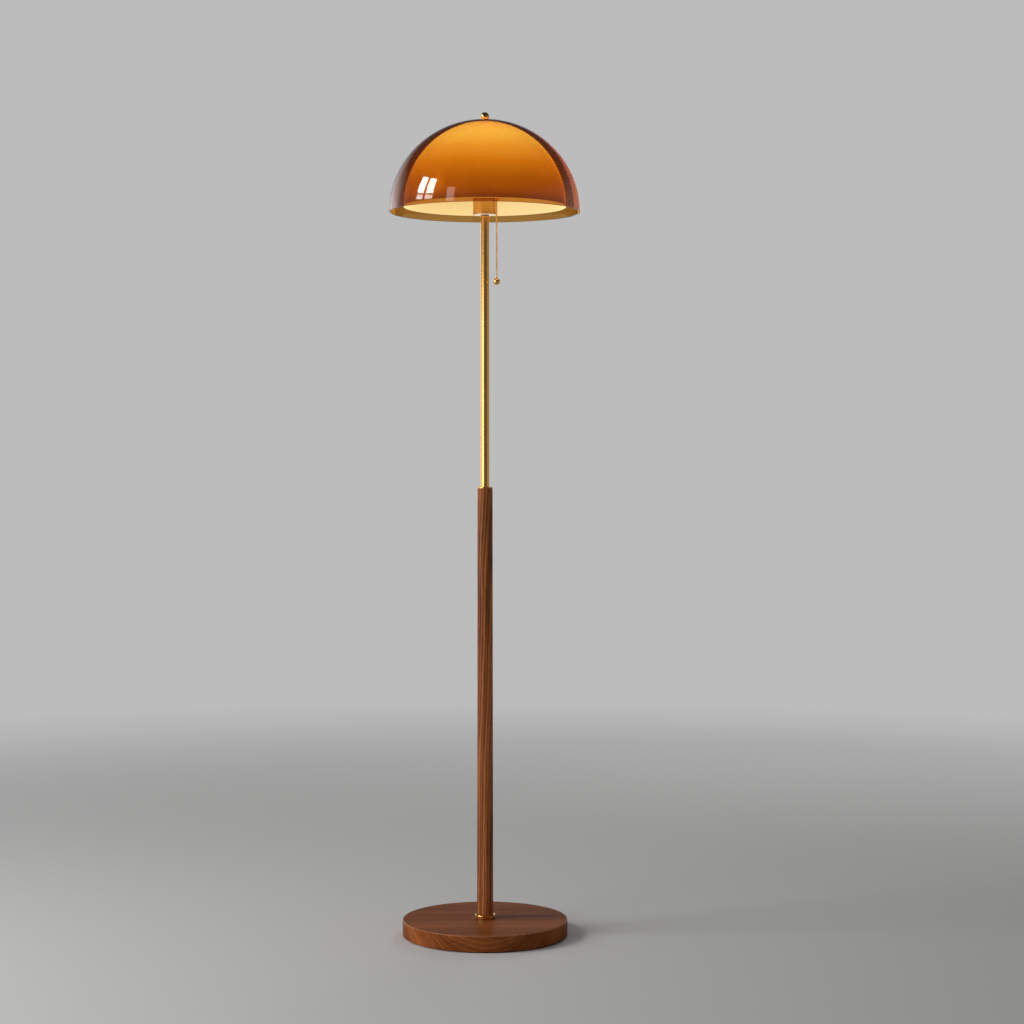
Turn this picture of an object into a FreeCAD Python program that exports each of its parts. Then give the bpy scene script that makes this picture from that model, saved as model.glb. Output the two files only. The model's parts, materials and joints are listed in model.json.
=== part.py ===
import FreeCAD, Part
import math
import os
import Sketcher

# A mushroom floor lamp, 1524 mm high: a round walnut foot, a walnut column, a brass tube,
# a brass cup with a pull switch, and two nested domes held on a harp by a ball finial.
# Millimetres, +Z up, +X to the right and -Y to the front. The origin is on the floor,
# under the middle of the foot.

SIZES = [
    # foot
    ("felt_diameter", 293.0),
    ("felt_thickness", 2.0),
    ("foot_diameter", 306.4),
    ("foot_thickness", 29.0),
    ("foot_edge_round", 2.0),
    ("foot_bottom_round", 1.0),
    ("weight_diameter", 220.0),
    ("weight_thickness", 16.5),
    ("weight_clearance", 0.5),
    ("weight_bore", 64.0),
    ("weight_slot", 10.0),
    ("weight_screw_circle", 150.0),
    ("weight_screw_diameter", 4.5),
    ("weight_screw_head", 9.0),
    ("weight_screw_length", 24.0),
    ("nut_recess_diameter", 60.0),
    ("nut_recess_depth", 6.0),
    ("gland_height", 12.0),
    ("gland_diameter", 9.0),
    ("gland_bore", 6.0),
    ("gland_flange_diameter", 14.0),
    ("gland_flange_thickness", 2.0),
    ("gland_length", 22.0),
    # threaded rod, its nut and the lead inside it
    ("rod_diameter", 9.8),
    ("rod_bore", 7.0),
    ("rod_clearance", 0.4),
    ("rod_reach", 5.0),
    ("rod_stand", 1.0),
    ("washer_diameter", 34.0),
    ("washer_thickness", 1.5),
    ("nut_flats", 14.0),
    ("nut_height", 4.0),
    ("lead_diameter", 5.0),
    ("lead_bend", 13.0),
    ("lead_first_run", 22.0),
    ("lead_drop_run", 38.0),
    ("lead_floor_gap", 1.0),
    ("lead_tail", 6.0),
    ("core_diameter", 1.6),
    ("core_gap", 0.4),
    # column
    ("collar_diameter", 38.5),
    ("collar_height", 8.2),
    ("collar_foot_height", 0.8),
    ("collar_foot_slope", 0.6),
    ("collar_tier_step", 0.9),
    ("collar_groove_level", 4.0),
    ("collar_groove_width", 0.6),
    ("collar_groove_slope", 0.2),
    ("collar_groove_rise", 0.6),
    ("collar_groove_depth", 1.2),
    ("collar_edge", 0.6),
    ("collar_lip", 2.0),
    ("collar_lip_edge", 0.3),
    ("collar_dish", 2.0),
    ("column_seat", 4.0),
    ("column_foot_diameter", 30.2),
    ("column_head_diameter", 28.2),
    ("column_length", 796.3),
    ("cap_thickness", 2.4),
    ("cap_edge", 0.4),
    ("tube_diameter", 16.0),
    ("tube_wall", 1.2),
    ("tube_length", 499.7),
    ("insert_length", 20.0),
    ("nipple_length", 34.0),
    ("neck_diameter", 15.0),
    ("neck_height", 2.0),
    # cup and lamp holder
    ("cup_diameter", 44.0),
    ("cup_wall", 0.8),
    ("cup_height", 60.0),
    ("cup_lip", 0.9),
    ("fit_gap", 0.05),
    ("plate_thickness", 2.0),
    ("housing_diameter", 34.0),
    ("housing_wall", 2.0),
    ("housing_height", 32.0),
    ("hub_height", 5.0),
    ("hub_wall", 3.0),
    ("holder_height", 25.0),
    ("holder_floor", 2.0),
    ("holder_edge", 1.0),
    ("shell_diameter", 27.6),
    ("shell_wall", 0.4),
    ("shell_inset", 1.5),
    ("contact_length", 20.7),
    ("contact_width", 4.0),
    ("contact_height", 1.5),
    ("bulb_gap", 0.3),
    ("bulb_cap_diameter", 26.4),
    ("bulb_cap_height", 25.0),
    ("bulb_tip_height", 2.5),
    ("bulb_tip_diameter", 8.0),
    ("bulb_tip_slope", 5.0),
    ("bulb_neck_inset", 1.0),
    ("bulb_flare_sine", 0.55),
    ("bulb_flare_ease", 1.2),
    ("bulb_diameter", 60.0),
    ("bulb_length", 106.0),
    # pull switch
    ("guide_turn", -32.6),
    ("pivot_radius", 8.5),
    ("pivot_rise", 33.6),
    ("pull_radius", 25.6),
    ("pin_diameter", 3.0),
    ("pin_overhang", 1.0),
    ("running_gap", 0.1),
    ("lever_thickness", 2.0),
    ("lever_depth", 1.8),
    ("lever_hub_wall", 1.5),
    ("lever_tip", 1.4),
    ("slot_headroom", 2.4),
    ("slot_overcut", 2.0),
    ("side_gap", 0.4),
    ("rotor_diameter", 10.0),
    ("rotor_width", 3.5),
    ("rotor_teeth", 16),
    ("tooth_depth", 1.0),
    ("tooth_height", 0.9),
    ("bracket_width", 12.0),
    ("bracket_sheet", 1.0),
    ("bracket_ear", 2.0),
    ("spring_diameter", 5.0),
    ("spring_width", 2.0),
    ("spring_wire", 0.8),
    ("leaf_thickness", 0.6),
    ("leaf_gap", 1.2),
    ("leaf_pitch", 2.0),
    ("leaf_reach", 2.0),
    ("guide_width", 8.0),
    ("guide_wall", 0.8),
    ("guide_drop", 8.0),
    ("guide_top", 4.0),
    ("guide_overlap", 2.0),
    ("eye_diameter", 1.2),
    ("fork_width", 2.4),
    ("fork_sheet", 0.6),
    ("fork_room", 0.8),
    ("fork_head", 1.2),
    ("connector_diameter", 3.6),
    ("connector_length", 6.4),
    ("chain_diameter", 2.7),
    ("chain_length", 143.8),
    ("chain_gap", 0.3),
    ("pull_ball_diameter", 12.6),
    # shade
    ("shade_diameter", 354.0),
    ("shade_height", 170.0),
    ("shade_wall", 2.5),
    ("diffuser_diameter", 300.0),
    ("diffuser_wall", 2.5),
    ("diffuser_rise", 9.5),
    ("shade_bore", 10.0),
    ("spacer_thickness", 0.8),
    ("spacer_diameter", 16.0),
    ("shade_washer_diameter", 26.0),
    ("shade_washer_thickness", 1.5),
    ("saddle_width", 12.5),
    ("saddle_sheet", 1.5),
    ("saddle_span", 38.4),
    ("saddle_rise", 60.0),
    ("harp_wire", 3.0),
    ("harp_height", 98.3),
    ("harp_width", 84.0),
    ("harp_shoulder", 21.0),
    ("harp_foot_run", 24.0),
    ("harp_side_level", 43.6),
    ("harp_side_run", 19.4),
    ("ferrule_diameter", 6.4),
    ("ferrule_length", 12.0),
    ("stud_diameter", 6.0),
    ("stud_plate_diameter", 14.0),
    ("stud_plate_thickness", 3.0),
    ("stud_reach", 7.0),
    ("stud_end_gap", 0.5),
    ("finial_diameter", 16.0),
    ("finial_sink", 2.0),
]

doc = FreeCAD.newDocument("mushroom_floor_lamp")
sheet = doc.addObject("Spreadsheet::Sheet", "Sizes")
for row, (alias, value) in enumerate(SIZES, start=1):
    sheet.set(f"A{row}", str(value))
    sheet.setAlias(f"A{row}", alias)
doc.recompute()

UP = FreeCAD.Vector(0, 0, 1)
BACK = FreeCAD.Vector(0, 1, 0)
ORIGIN = FreeCAD.Vector(0, 0, 0)

# Levels along the lamp's axis, from the floor up, each built on the one below it.
FOOT_TOP = "(Sizes.felt_thickness + Sizes.foot_thickness)"
WEIGHT_CEILING = "(Sizes.felt_thickness + Sizes.weight_clearance + Sizes.weight_thickness)"
NUT_CEILING = f"({WEIGHT_CEILING} + Sizes.nut_recess_depth)"
NUT_TOP = f"({NUT_CEILING} - Sizes.washer_thickness)"
NUT_BOTTOM = f"({NUT_TOP} - Sizes.nut_height)"
ROD_BOTTOM = f"({NUT_BOTTOM} - Sizes.rod_stand)"
COLUMN_FOOT = f"({FOOT_TOP} + Sizes.column_seat)"
COLLAR_TOP = f"({FOOT_TOP} + Sizes.collar_height)"
COLUMN_TOP = f"({COLUMN_FOOT} + Sizes.column_length)"
CAP_TOP = f"({COLUMN_TOP} + Sizes.cap_thickness)"
ROD_TOP = f"({CAP_TOP} + Sizes.insert_length - Sizes.rod_reach)"
TUBE_TOP = f"({CAP_TOP} + Sizes.tube_length)"
CUP_BOTTOM = f"({TUBE_TOP} + Sizes.neck_height)"
PLATE_TOP = f"({CUP_BOTTOM} + Sizes.plate_thickness)"
SADDLE_BOTTOM = f"({PLATE_TOP} + Sizes.nut_height)"
HOUSING_BOTTOM = f"({SADDLE_BOTTOM} + Sizes.saddle_sheet)"
HUB_TOP = f"({HOUSING_BOTTOM} + Sizes.hub_height)"
LEAD_TOP = f"({HUB_TOP} + Sizes.lead_tail)"
HOUSING_TOP = f"({HOUSING_BOTTOM} + Sizes.housing_height)"
HOLDER_FLOOR = f"({HOUSING_TOP} + Sizes.holder_floor)"
HOLDER_TOP = f"({HOUSING_TOP} + Sizes.holder_height)"
CUP_TOP = f"({CUP_BOTTOM} + Sizes.cup_height)"
BULB_FOOT = f"({HOLDER_FLOOR} + Sizes.contact_height + Sizes.bulb_gap)"
BULB_SHELL = f"({BULB_FOOT} + Sizes.bulb_tip_height)"
BULB_NECK = f"({BULB_SHELL} + Sizes.bulb_cap_height)"
BULB_TOP = f"({BULB_FOOT} + Sizes.bulb_length)"
PIVOT = f"({CUP_BOTTOM} + Sizes.pivot_rise)"
GUIDE_MOUTH = f"({PIVOT} - Sizes.guide_drop)"
CHAIN_TOP = f"({PIVOT} - Sizes.eye_diameter / 2 - Sizes.connector_length - Sizes.chain_gap)"
CHAIN_BOTTOM = f"({CHAIN_TOP} - Sizes.chain_length)"
# The domes hang from the harp, so their levels are built up from it and down to their rims.
SADDLE_TOP = f"({SADDLE_BOTTOM} + Sizes.saddle_rise)"
HARP_TOP = f"({SADDLE_TOP} + Sizes.harp_height)"
STUD_PLATE = f"({HARP_TOP} + Sizes.stud_plate_thickness)"
WASHER_TOP = f"({STUD_PLATE} + Sizes.shade_washer_thickness)"
DIFFUSER_TOP = f"({WASHER_TOP} + Sizes.diffuser_wall)"
SHADE_TOP = f"({DIFFUSER_TOP} + Sizes.spacer_thickness + Sizes.shade_wall)"
SHADE_RIM = f"({SHADE_TOP} - Sizes.shade_height)"
DIFFUSER_RIM = f"({SHADE_RIM} + Sizes.diffuser_rise)"
FINIAL_CENTRE = f"({SHADE_TOP} + Sizes.finial_diameter / 2 - Sizes.finial_sink)"

# Radii that more than one piece shares.
ROD_HOLE = "(Sizes.rod_diameter / 2 + Sizes.rod_clearance)"
WEIGHT_POCKET = "(Sizes.weight_diameter / 2 + Sizes.weight_clearance)"
TUBE_INSIDE = "(Sizes.tube_diameter / 2 - Sizes.tube_wall)"
CUP_INSIDE = "(Sizes.cup_diameter / 2 - Sizes.cup_wall)"
HOUSING_INSIDE = "(Sizes.housing_diameter / 2 - Sizes.housing_wall)"
SHELL_SEAT = "(Sizes.shell_diameter / 2)"

# A bend of wire or lead takes up at most this share of the shorter run beside it.
ROUNDED_SHARE = 0.45
# The domes' curve is drawn through this many even steps of its formula.
DOME_STEPS = 24

nodes = {}


def number(text):
    """The value of an expression over the sheet, such as "Sizes.tube_diameter / 2"."""
    return float(sheet.evalExpression(text))


def keep(name, shape_object):
    """Marks an object of the document as the sub-part with this name."""
    shape_object.Label = name
    nodes[name] = shape_object
    return shape_object


def arc_between(start, end, radius, side):
    """The short arc from start to end; side +1 has its centre to the left of the way there."""
    chord = end - start
    reach = math.sqrt(max(radius ** 2 - chord.Length ** 2 / 4, 0))
    left = FreeCAD.Vector(-chord.y, chord.x, 0).normalize()
    centre = (start + end) * 0.5 + left * (side * reach)
    first, last = (start, end) if side > 0 else (end, start)
    angles = [math.atan2(p.y - centre.y, p.x - centre.x) for p in (first, last)]
    return Part.ArcOfCircle(Part.Circle(centre, UP, radius), angles[0], angles[1])


def profile(body, outline):
    """A closed sketch in the body's XZ plane. A corner is (radius, level) in expressions;
    with (radius, level, arc radius, side) the edge that starts there is an arc."""
    sketch = body.newObject("Sketcher::SketchObject", "Profile")
    plane = next(o for o in body.Origin.OriginFeatures if o.Role == "XZ_Plane")
    sketch.AttachmentSupport = [(plane, "")]
    sketch.MapMode = "FlatFace"
    corners = [FreeCAD.Vector(number(c[0]), number(c[1]), 0) for c in outline]
    count = len(corners)
    ends = []
    for index, corner in enumerate(outline):
        start, end = corners[index], corners[(index + 1) % count]
        if len(corner) == 4:
            radius, side = number(corner[2]), corner[3]
            edge = sketch.addGeometry(arc_between(start, end, radius, side))
            ends.append((edge, 1, 2) if side > 0 else (edge, 2, 1))
        else:
            edge = sketch.addGeometry(Part.LineSegment(start, end))
            ends.append((edge, 1, 2))
    for index in range(count):
        edge, _, last = ends[index]
        following, first, _ = ends[(index + 1) % count]
        sketch.addConstraint(Sketcher.Constraint("Coincident", edge, last, following, first))
    for index, corner in enumerate(outline):
        edge, first, _ = ends[index]
        for kind, text, axis in (("DistanceX", corner[0], -2), ("DistanceY", corner[1], -1)):
            if text == "0":
                sketch.addConstraint(Sketcher.Constraint("PointOnObject", edge, first, axis))
                continue
            size = Sketcher.Constraint(kind, -1, 1, edge, first, number(text))
            sketch.setExpression(f"Constraints[{sketch.addConstraint(size)}]", text)
        if len(corner) == 4:
            size = Sketcher.Constraint("Radius", edge, number(corner[2]))
            sketch.setExpression(f"Constraints[{sketch.addConstraint(size)}]", corner[2])
    return sketch


def turned(name, outline, node=True):
    """A body turned about the lamp's axis from a closed outline of corners."""
    body = doc.addObject("PartDesign::Body", name if node else name + "_blank")
    sketch = profile(body, outline)
    revolution = body.newObject("PartDesign::Revolution", "Turning")
    revolution.Profile = (sketch, [""])
    revolution.ReferenceAxis = (sketch, ["V_Axis"])
    revolution.Angle = 360
    return keep(name, body) if node else body


def ring(name, inner, outer, bottom, top, node=True):
    """A plain ring or, with an inner radius of "0", a disc."""
    outline = [(inner, bottom), (outer, bottom), (outer, top), (inner, top)]
    return turned(name, outline, node)


def bind(shape_object, **sizes):
    """Binds properties to expressions; x, y and z are the place."""
    for key, text in sizes.items():
        path = f"Placement.Base.{key}" if key in ("x", "y", "z") else key
        shape_object.setExpression(path, text)
    return shape_object


def block(name, length, width, height, x, y, z):
    """A box from its low corner."""
    box = doc.addObject("Part::Box", name)
    return bind(box, Length=length, Width=width, Height=height, x=x, y=y, z=z)


def bar(name, radius, height, x, y, z, axis=UP):
    """A cylinder that starts at x, y, z and runs along axis."""
    cylinder = doc.addObject("Part::Cylinder", name)
    cylinder.Placement = FreeCAD.Placement(ORIGIN, FreeCAD.Rotation(UP, axis))
    return bind(cylinder, Radius=radius, Height=height, x=x, y=y, z=z)


def cut(name, base, *tools):
    """Base with each tool taken away."""
    for index, tool in enumerate(tools):
        step = doc.addObject("Part::Cut", f"{name}_cut_{index}")
        step.Base, step.Tool = base, tool
        base = step
    return base


def joined(name, *pieces):
    """Pieces fused to one solid."""
    fuse = doc.addObject("Part::MultiFuse", name)
    fuse.Shapes = list(pieces)
    fuse.Refine = True
    return fuse


def grouped(name, *pieces):
    """Separate pieces kept side by side in one sub-part."""
    group = doc.addObject("Part::Compound", name)
    group.Links = list(pieces)
    return group


def facing_guide(shape_object):
    """Turns a piece that was made along +X to the side where the chain hangs."""
    shape_object.Placement = FreeCAD.Placement(ORIGIN, FreeCAD.Rotation(UP, -1.0))
    shape_object.setExpression("Placement.Rotation.Angle", "Sizes.guide_turn * 1 deg")
    return shape_object


def foot():
    ring("felt_pad", "0", "Sizes.felt_diameter / 2", "0", "Sizes.felt_thickness")
    edge = "Sizes.foot_diameter / 2"
    disc = turned("foot_disc", [
        (ROD_HOLE, FOOT_TOP),
        (ROD_HOLE, NUT_CEILING),
        ("Sizes.nut_recess_diameter / 2", NUT_CEILING),
        ("Sizes.nut_recess_diameter / 2", WEIGHT_CEILING),
        (WEIGHT_POCKET, WEIGHT_CEILING),
        (WEIGHT_POCKET, "Sizes.felt_thickness"),
        (f"{edge} - Sizes.foot_bottom_round", "Sizes.felt_thickness",
         "Sizes.foot_bottom_round", 1),
        (edge, "Sizes.felt_thickness + Sizes.foot_bottom_round"),
        (edge, f"{FOOT_TOP} - Sizes.foot_edge_round", "Sizes.foot_edge_round", 1),
        (f"{edge} - Sizes.foot_edge_round", FOOT_TOP),
    ], node=False)
    gland_hole = bar("gland_hole", "Sizes.gland_diameter / 2", "Sizes.foot_diameter / 2",
                     "0", f"{WEIGHT_POCKET} - Sizes.gland_diameter", "Sizes.gland_height", BACK)
    pilots = weight_screws("pilot", "Sizes.weight_screw_diameter / 2")
    keep("foot_disc", cut("foot_disc", disc, gland_hole, *pilots))

    weight = ring("foot_weight", "Sizes.weight_bore / 2", "Sizes.weight_diameter / 2",
                  f"{WEIGHT_CEILING} - Sizes.weight_thickness", WEIGHT_CEILING, node=False)
    slot = block("weight_slot", "Sizes.weight_slot", "Sizes.weight_diameter",
                 "Sizes.weight_thickness * 2", "-Sizes.weight_slot / 2", "0", "0")
    holes = weight_screws("weight_hole", "Sizes.weight_screw_diameter / 2 + Sizes.fit_gap",
                          "Sizes.fit_gap")
    keep("foot_weight", cut("foot_weight", weight, slot, *holes))
    keep("weight_screws", grouped("weight_screws", *weight_screws(
        "weight_screw", "Sizes.weight_screw_diameter / 2 - Sizes.fit_gap")))


def weight_screws(name, shank, room="0"):
    """Three countersunk screws, or the holes for them, head down under the iron weight."""
    screws = []
    head_face = f"({WEIGHT_CEILING} - Sizes.weight_thickness)"
    head = f"(Sizes.weight_screw_head / 2 + {room})"
    cone = "(Sizes.weight_screw_head - Sizes.weight_screw_diameter) / 2"
    for turn in (30, 150, 270):
        screw = turned(f"{name}_{turn}", [
            ("0", head_face),
            (head, head_face),
            (shank, f"{head_face} + {cone}"),
            (shank, f"{head_face} + Sizes.weight_screw_length"),
            ("0", f"{head_face} + Sizes.weight_screw_length"),
        ], node=False)
        place = "Sizes.weight_screw_circle / 2"
        bind(screw, x=f"{place} * cos({turn} deg)", y=f"{place} * sin({turn} deg)")
        screws.append(screw)
    return screws


def cord_gland():
    """The gland at the back of the foot, where a supply cord would come in."""
    back = "Sizes.foot_diameter / 2"
    inner_end = f"{back} + Sizes.gland_flange_thickness - Sizes.gland_length"
    barrel = bar("gland_barrel", "Sizes.gland_diameter / 2 - Sizes.fit_gap",
                 "Sizes.gland_length", "0", inner_end, "Sizes.gland_height", BACK)
    flange = bar("gland_flange", "Sizes.gland_flange_diameter / 2",
                 "Sizes.gland_flange_thickness", "0", back, "Sizes.gland_height", BACK)
    bore = bar("gland_bore", "Sizes.gland_bore / 2", "Sizes.gland_length * 2",
               "0", f"{back} - Sizes.gland_length * 1.5", "Sizes.gland_height", BACK)
    keep("cord_gland", cut("cord_gland", joined("gland_solid", barrel, flange), bore))


def hex_nut(name, bottom):
    """A thin hexagon nut on the threaded rod."""
    prism = doc.addObject("Part::Prism", f"{name}_prism")
    prism.Polygon = 6
    bind(prism, Circumradius="Sizes.nut_flats / sqrt(3)", Height="Sizes.nut_height", z=bottom)
    hole = bar(f"{name}_hole", "Sizes.rod_diameter / 2 + Sizes.fit_gap",
               "Sizes.nut_height * 2", "0", "0", f"{bottom} - Sizes.nut_height / 2")
    keep(name, cut(name, prism, hole))


def column():
    ring("foot_washer", ROD_HOLE, "Sizes.washer_diameter / 2", NUT_TOP, NUT_CEILING)
    hex_nut("foot_nut", NUT_BOTTOM)
    ring("tie_rod", "Sizes.rod_bore / 2", "Sizes.rod_diameter / 2", ROD_BOTTOM, ROD_TOP)
    outside = "Sizes.collar_diameter / 2"
    tier = f"{outside} - Sizes.collar_tier_step"
    groove = f"{outside} - Sizes.collar_groove_depth"
    foot_edge = f"{tier} - Sizes.collar_groove_depth"
    foot_top = f"{FOOT_TOP} + Sizes.collar_foot_height"
    groove_foot = f"({FOOT_TOP} + Sizes.collar_groove_level)"
    groove_low = f"({groove_foot} + Sizes.collar_groove_slope)"
    groove_high = f"({groove_low} + Sizes.collar_groove_width)"
    lip = f"{outside} - Sizes.collar_lip"
    seat = "Sizes.column_foot_diameter / 2 + Sizes.fit_gap"
    turned("foot_collar", [
        (ROD_HOLE, FOOT_TOP),
        (foot_edge, FOOT_TOP),
        (foot_edge, foot_top),
        (tier, f"{foot_top} + Sizes.collar_foot_slope"),
        (tier, groove_foot),
        (groove, groove_low),
        (groove, groove_high),
        (outside, f"{groove_high} + Sizes.collar_groove_rise"),
        (outside, f"{COLLAR_TOP} - Sizes.collar_edge"),
        (f"{outside} - Sizes.collar_edge", COLLAR_TOP),
        (f"{lip} + Sizes.collar_lip_edge", COLLAR_TOP),
        (lip, f"{COLLAR_TOP} - Sizes.collar_lip_edge"),
        (seat, f"{COLLAR_TOP} - Sizes.collar_dish"),
        (seat, COLUMN_FOOT),
        (ROD_HOLE, COLUMN_FOOT),
    ])
    turned("wood_column", [
        (ROD_HOLE, COLUMN_FOOT),
        ("Sizes.column_foot_diameter / 2", COLUMN_FOOT),
        ("Sizes.column_foot_diameter / 2", COLLAR_TOP),
        ("Sizes.column_head_diameter / 2", COLUMN_TOP),
        (ROD_HOLE, COLUMN_TOP),
    ])
    cap = "Sizes.column_head_diameter / 2"
    turned("column_cap", [
        (ROD_HOLE, COLUMN_TOP),
        (cap, COLUMN_TOP),
        (cap, f"{CAP_TOP} - Sizes.cap_edge"),
        (f"{cap} - Sizes.cap_edge", CAP_TOP),
        (ROD_HOLE, CAP_TOP),
    ])


def tube():
    ring("upper_tube", TUBE_INSIDE, "Sizes.tube_diameter / 2", CAP_TOP, TUBE_TOP)
    plug = f"{TUBE_INSIDE} - Sizes.fit_gap"
    thread = "Sizes.rod_diameter / 2 + Sizes.fit_gap"
    ring("tube_foot_insert", thread, plug, CAP_TOP, f"{CAP_TOP} + Sizes.insert_length")
    ring("tube_head_insert", thread, plug, f"{TUBE_TOP} - Sizes.insert_length", TUBE_TOP)
    ring("top_nipple", "Sizes.rod_bore / 2", "Sizes.rod_diameter / 2",
         f"{HUB_TOP} - Sizes.nipple_length", HUB_TOP)
    ring("neck_spacer", ROD_HOLE, "Sizes.neck_diameter / 2", TUBE_TOP, CUP_BOTTOM)


def cup():
    plate_edge = f"{CUP_INSIDE} - Sizes.fit_gap"
    ring("cup_plate", ROD_HOLE, plate_edge, CUP_BOTTOM, PLATE_TOP)
    hex_nut("plate_nut", PLATE_TOP)
    outside = "Sizes.cup_diameter / 2"
    shell = turned("cup", [
        (CUP_INSIDE, CUP_BOTTOM),
        (outside, CUP_BOTTOM),
        (outside, CUP_TOP),
        (f"{CUP_INSIDE} - Sizes.cup_lip", CUP_TOP),
        (f"{CUP_INSIDE} - Sizes.cup_lip", f"{CUP_TOP} - Sizes.cup_wall"),
        (CUP_INSIDE, f"{CUP_TOP} - Sizes.cup_wall"),
    ], node=False)
    keep("cup", cut("cup", shell, lever_slot("cup_slot", "Sizes.cup_diameter / 2")))


def lever_slot(name, outside):
    """The upright slot that the pull lever sweeps, from inside the housing through outside."""
    width = "(Sizes.guide_width - 2 * Sizes.guide_wall)"
    start = f"({HOUSING_INSIDE} - Sizes.slot_overcut)"
    slot = block(f"{name}_box", f"{outside} + Sizes.slot_overcut - {start}", width,
                 "Sizes.guide_drop + Sizes.slot_headroom", start, f"-{width} / 2", GUIDE_MOUTH)
    return facing_guide(grouped(name, slot))


def lamp_holder():
    outside = "Sizes.housing_diameter / 2"
    thread = "Sizes.rod_diameter / 2 + Sizes.fit_gap"
    hub = "Sizes.rod_diameter / 2 + Sizes.hub_wall"
    housing = turned("switch_housing", [
        (thread, HOUSING_BOTTOM),
        (outside, HOUSING_BOTTOM),
        (outside, HOUSING_TOP),
        (HOUSING_INSIDE, HOUSING_TOP),
        (HOUSING_INSIDE, f"{HOUSING_BOTTOM} + Sizes.housing_wall"),
        (hub, f"{HOUSING_BOTTOM} + Sizes.housing_wall"),
        (hub, HUB_TOP),
        (thread, HUB_TOP),
    ], node=False)
    keep("switch_housing", cut("switch_housing", housing,
                               lever_slot("housing_slot", "Sizes.housing_diameter / 2")))
    holder_inside = f"{SHELL_SEAT} + Sizes.fit_gap"
    turned("lamp_holder", [
        (ROD_HOLE, HOUSING_TOP),
        (outside, HOUSING_TOP),
        (outside, f"{HOLDER_TOP} - Sizes.holder_edge"),
        (f"{outside} - Sizes.holder_edge", HOLDER_TOP),
        (holder_inside, HOLDER_TOP),
        (holder_inside, HOLDER_FLOOR),
        (ROD_HOLE, HOLDER_FLOOR),
    ])
    ring("thread_shell", f"{SHELL_SEAT} - Sizes.shell_wall", SHELL_SEAT,
         HOLDER_FLOOR, f"{HOLDER_TOP} - Sizes.shell_inset")
    keep("centre_contact", block(
        "centre_contact", "Sizes.contact_length", "Sizes.contact_width", "Sizes.contact_height",
        "-Sizes.contact_length / 2", "-Sizes.contact_width / 2", HOLDER_FLOOR))


def bulb():
    tip = "Sizes.bulb_cap_diameter / 2 - Sizes.bulb_tip_slope"
    turned("bulb_foot", [
        ("0", BULB_FOOT),
        ("Sizes.bulb_tip_diameter / 2", BULB_FOOT),
        (tip, BULB_SHELL),
        ("0", BULB_SHELL),
    ])
    cap = "Sizes.bulb_cap_diameter / 2"
    ring("bulb_cap", "0", cap, BULB_SHELL, BULB_NECK)
    globe = "Sizes.bulb_diameter / 2"
    centre = f"({BULB_TOP} - {globe})"
    neck = f"({cap} - Sizes.bulb_neck_inset)"
    # The neck flares into the globe on an arc that meets it almost without a corner.
    rise = f"({centre} - {BULB_NECK})"
    drop = "Sizes.bulb_flare_sine"
    touch_radius = f"({globe} * cos(asin({drop})))"
    flare = f"(({touch_radius} - {neck}) ^ 2 + ({rise} - {globe} * {drop}) ^ 2)"
    turned("bulb_glass", [
        ("0", BULB_NECK),
        (neck, BULB_NECK, f"sqrt({flare}) * Sizes.bulb_flare_ease", -1),
        (touch_radius, f"{centre} - {globe} * {drop}", globe, 1),
        (globe, centre, globe, 1),
        ("0", BULB_TOP),
    ])


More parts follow.
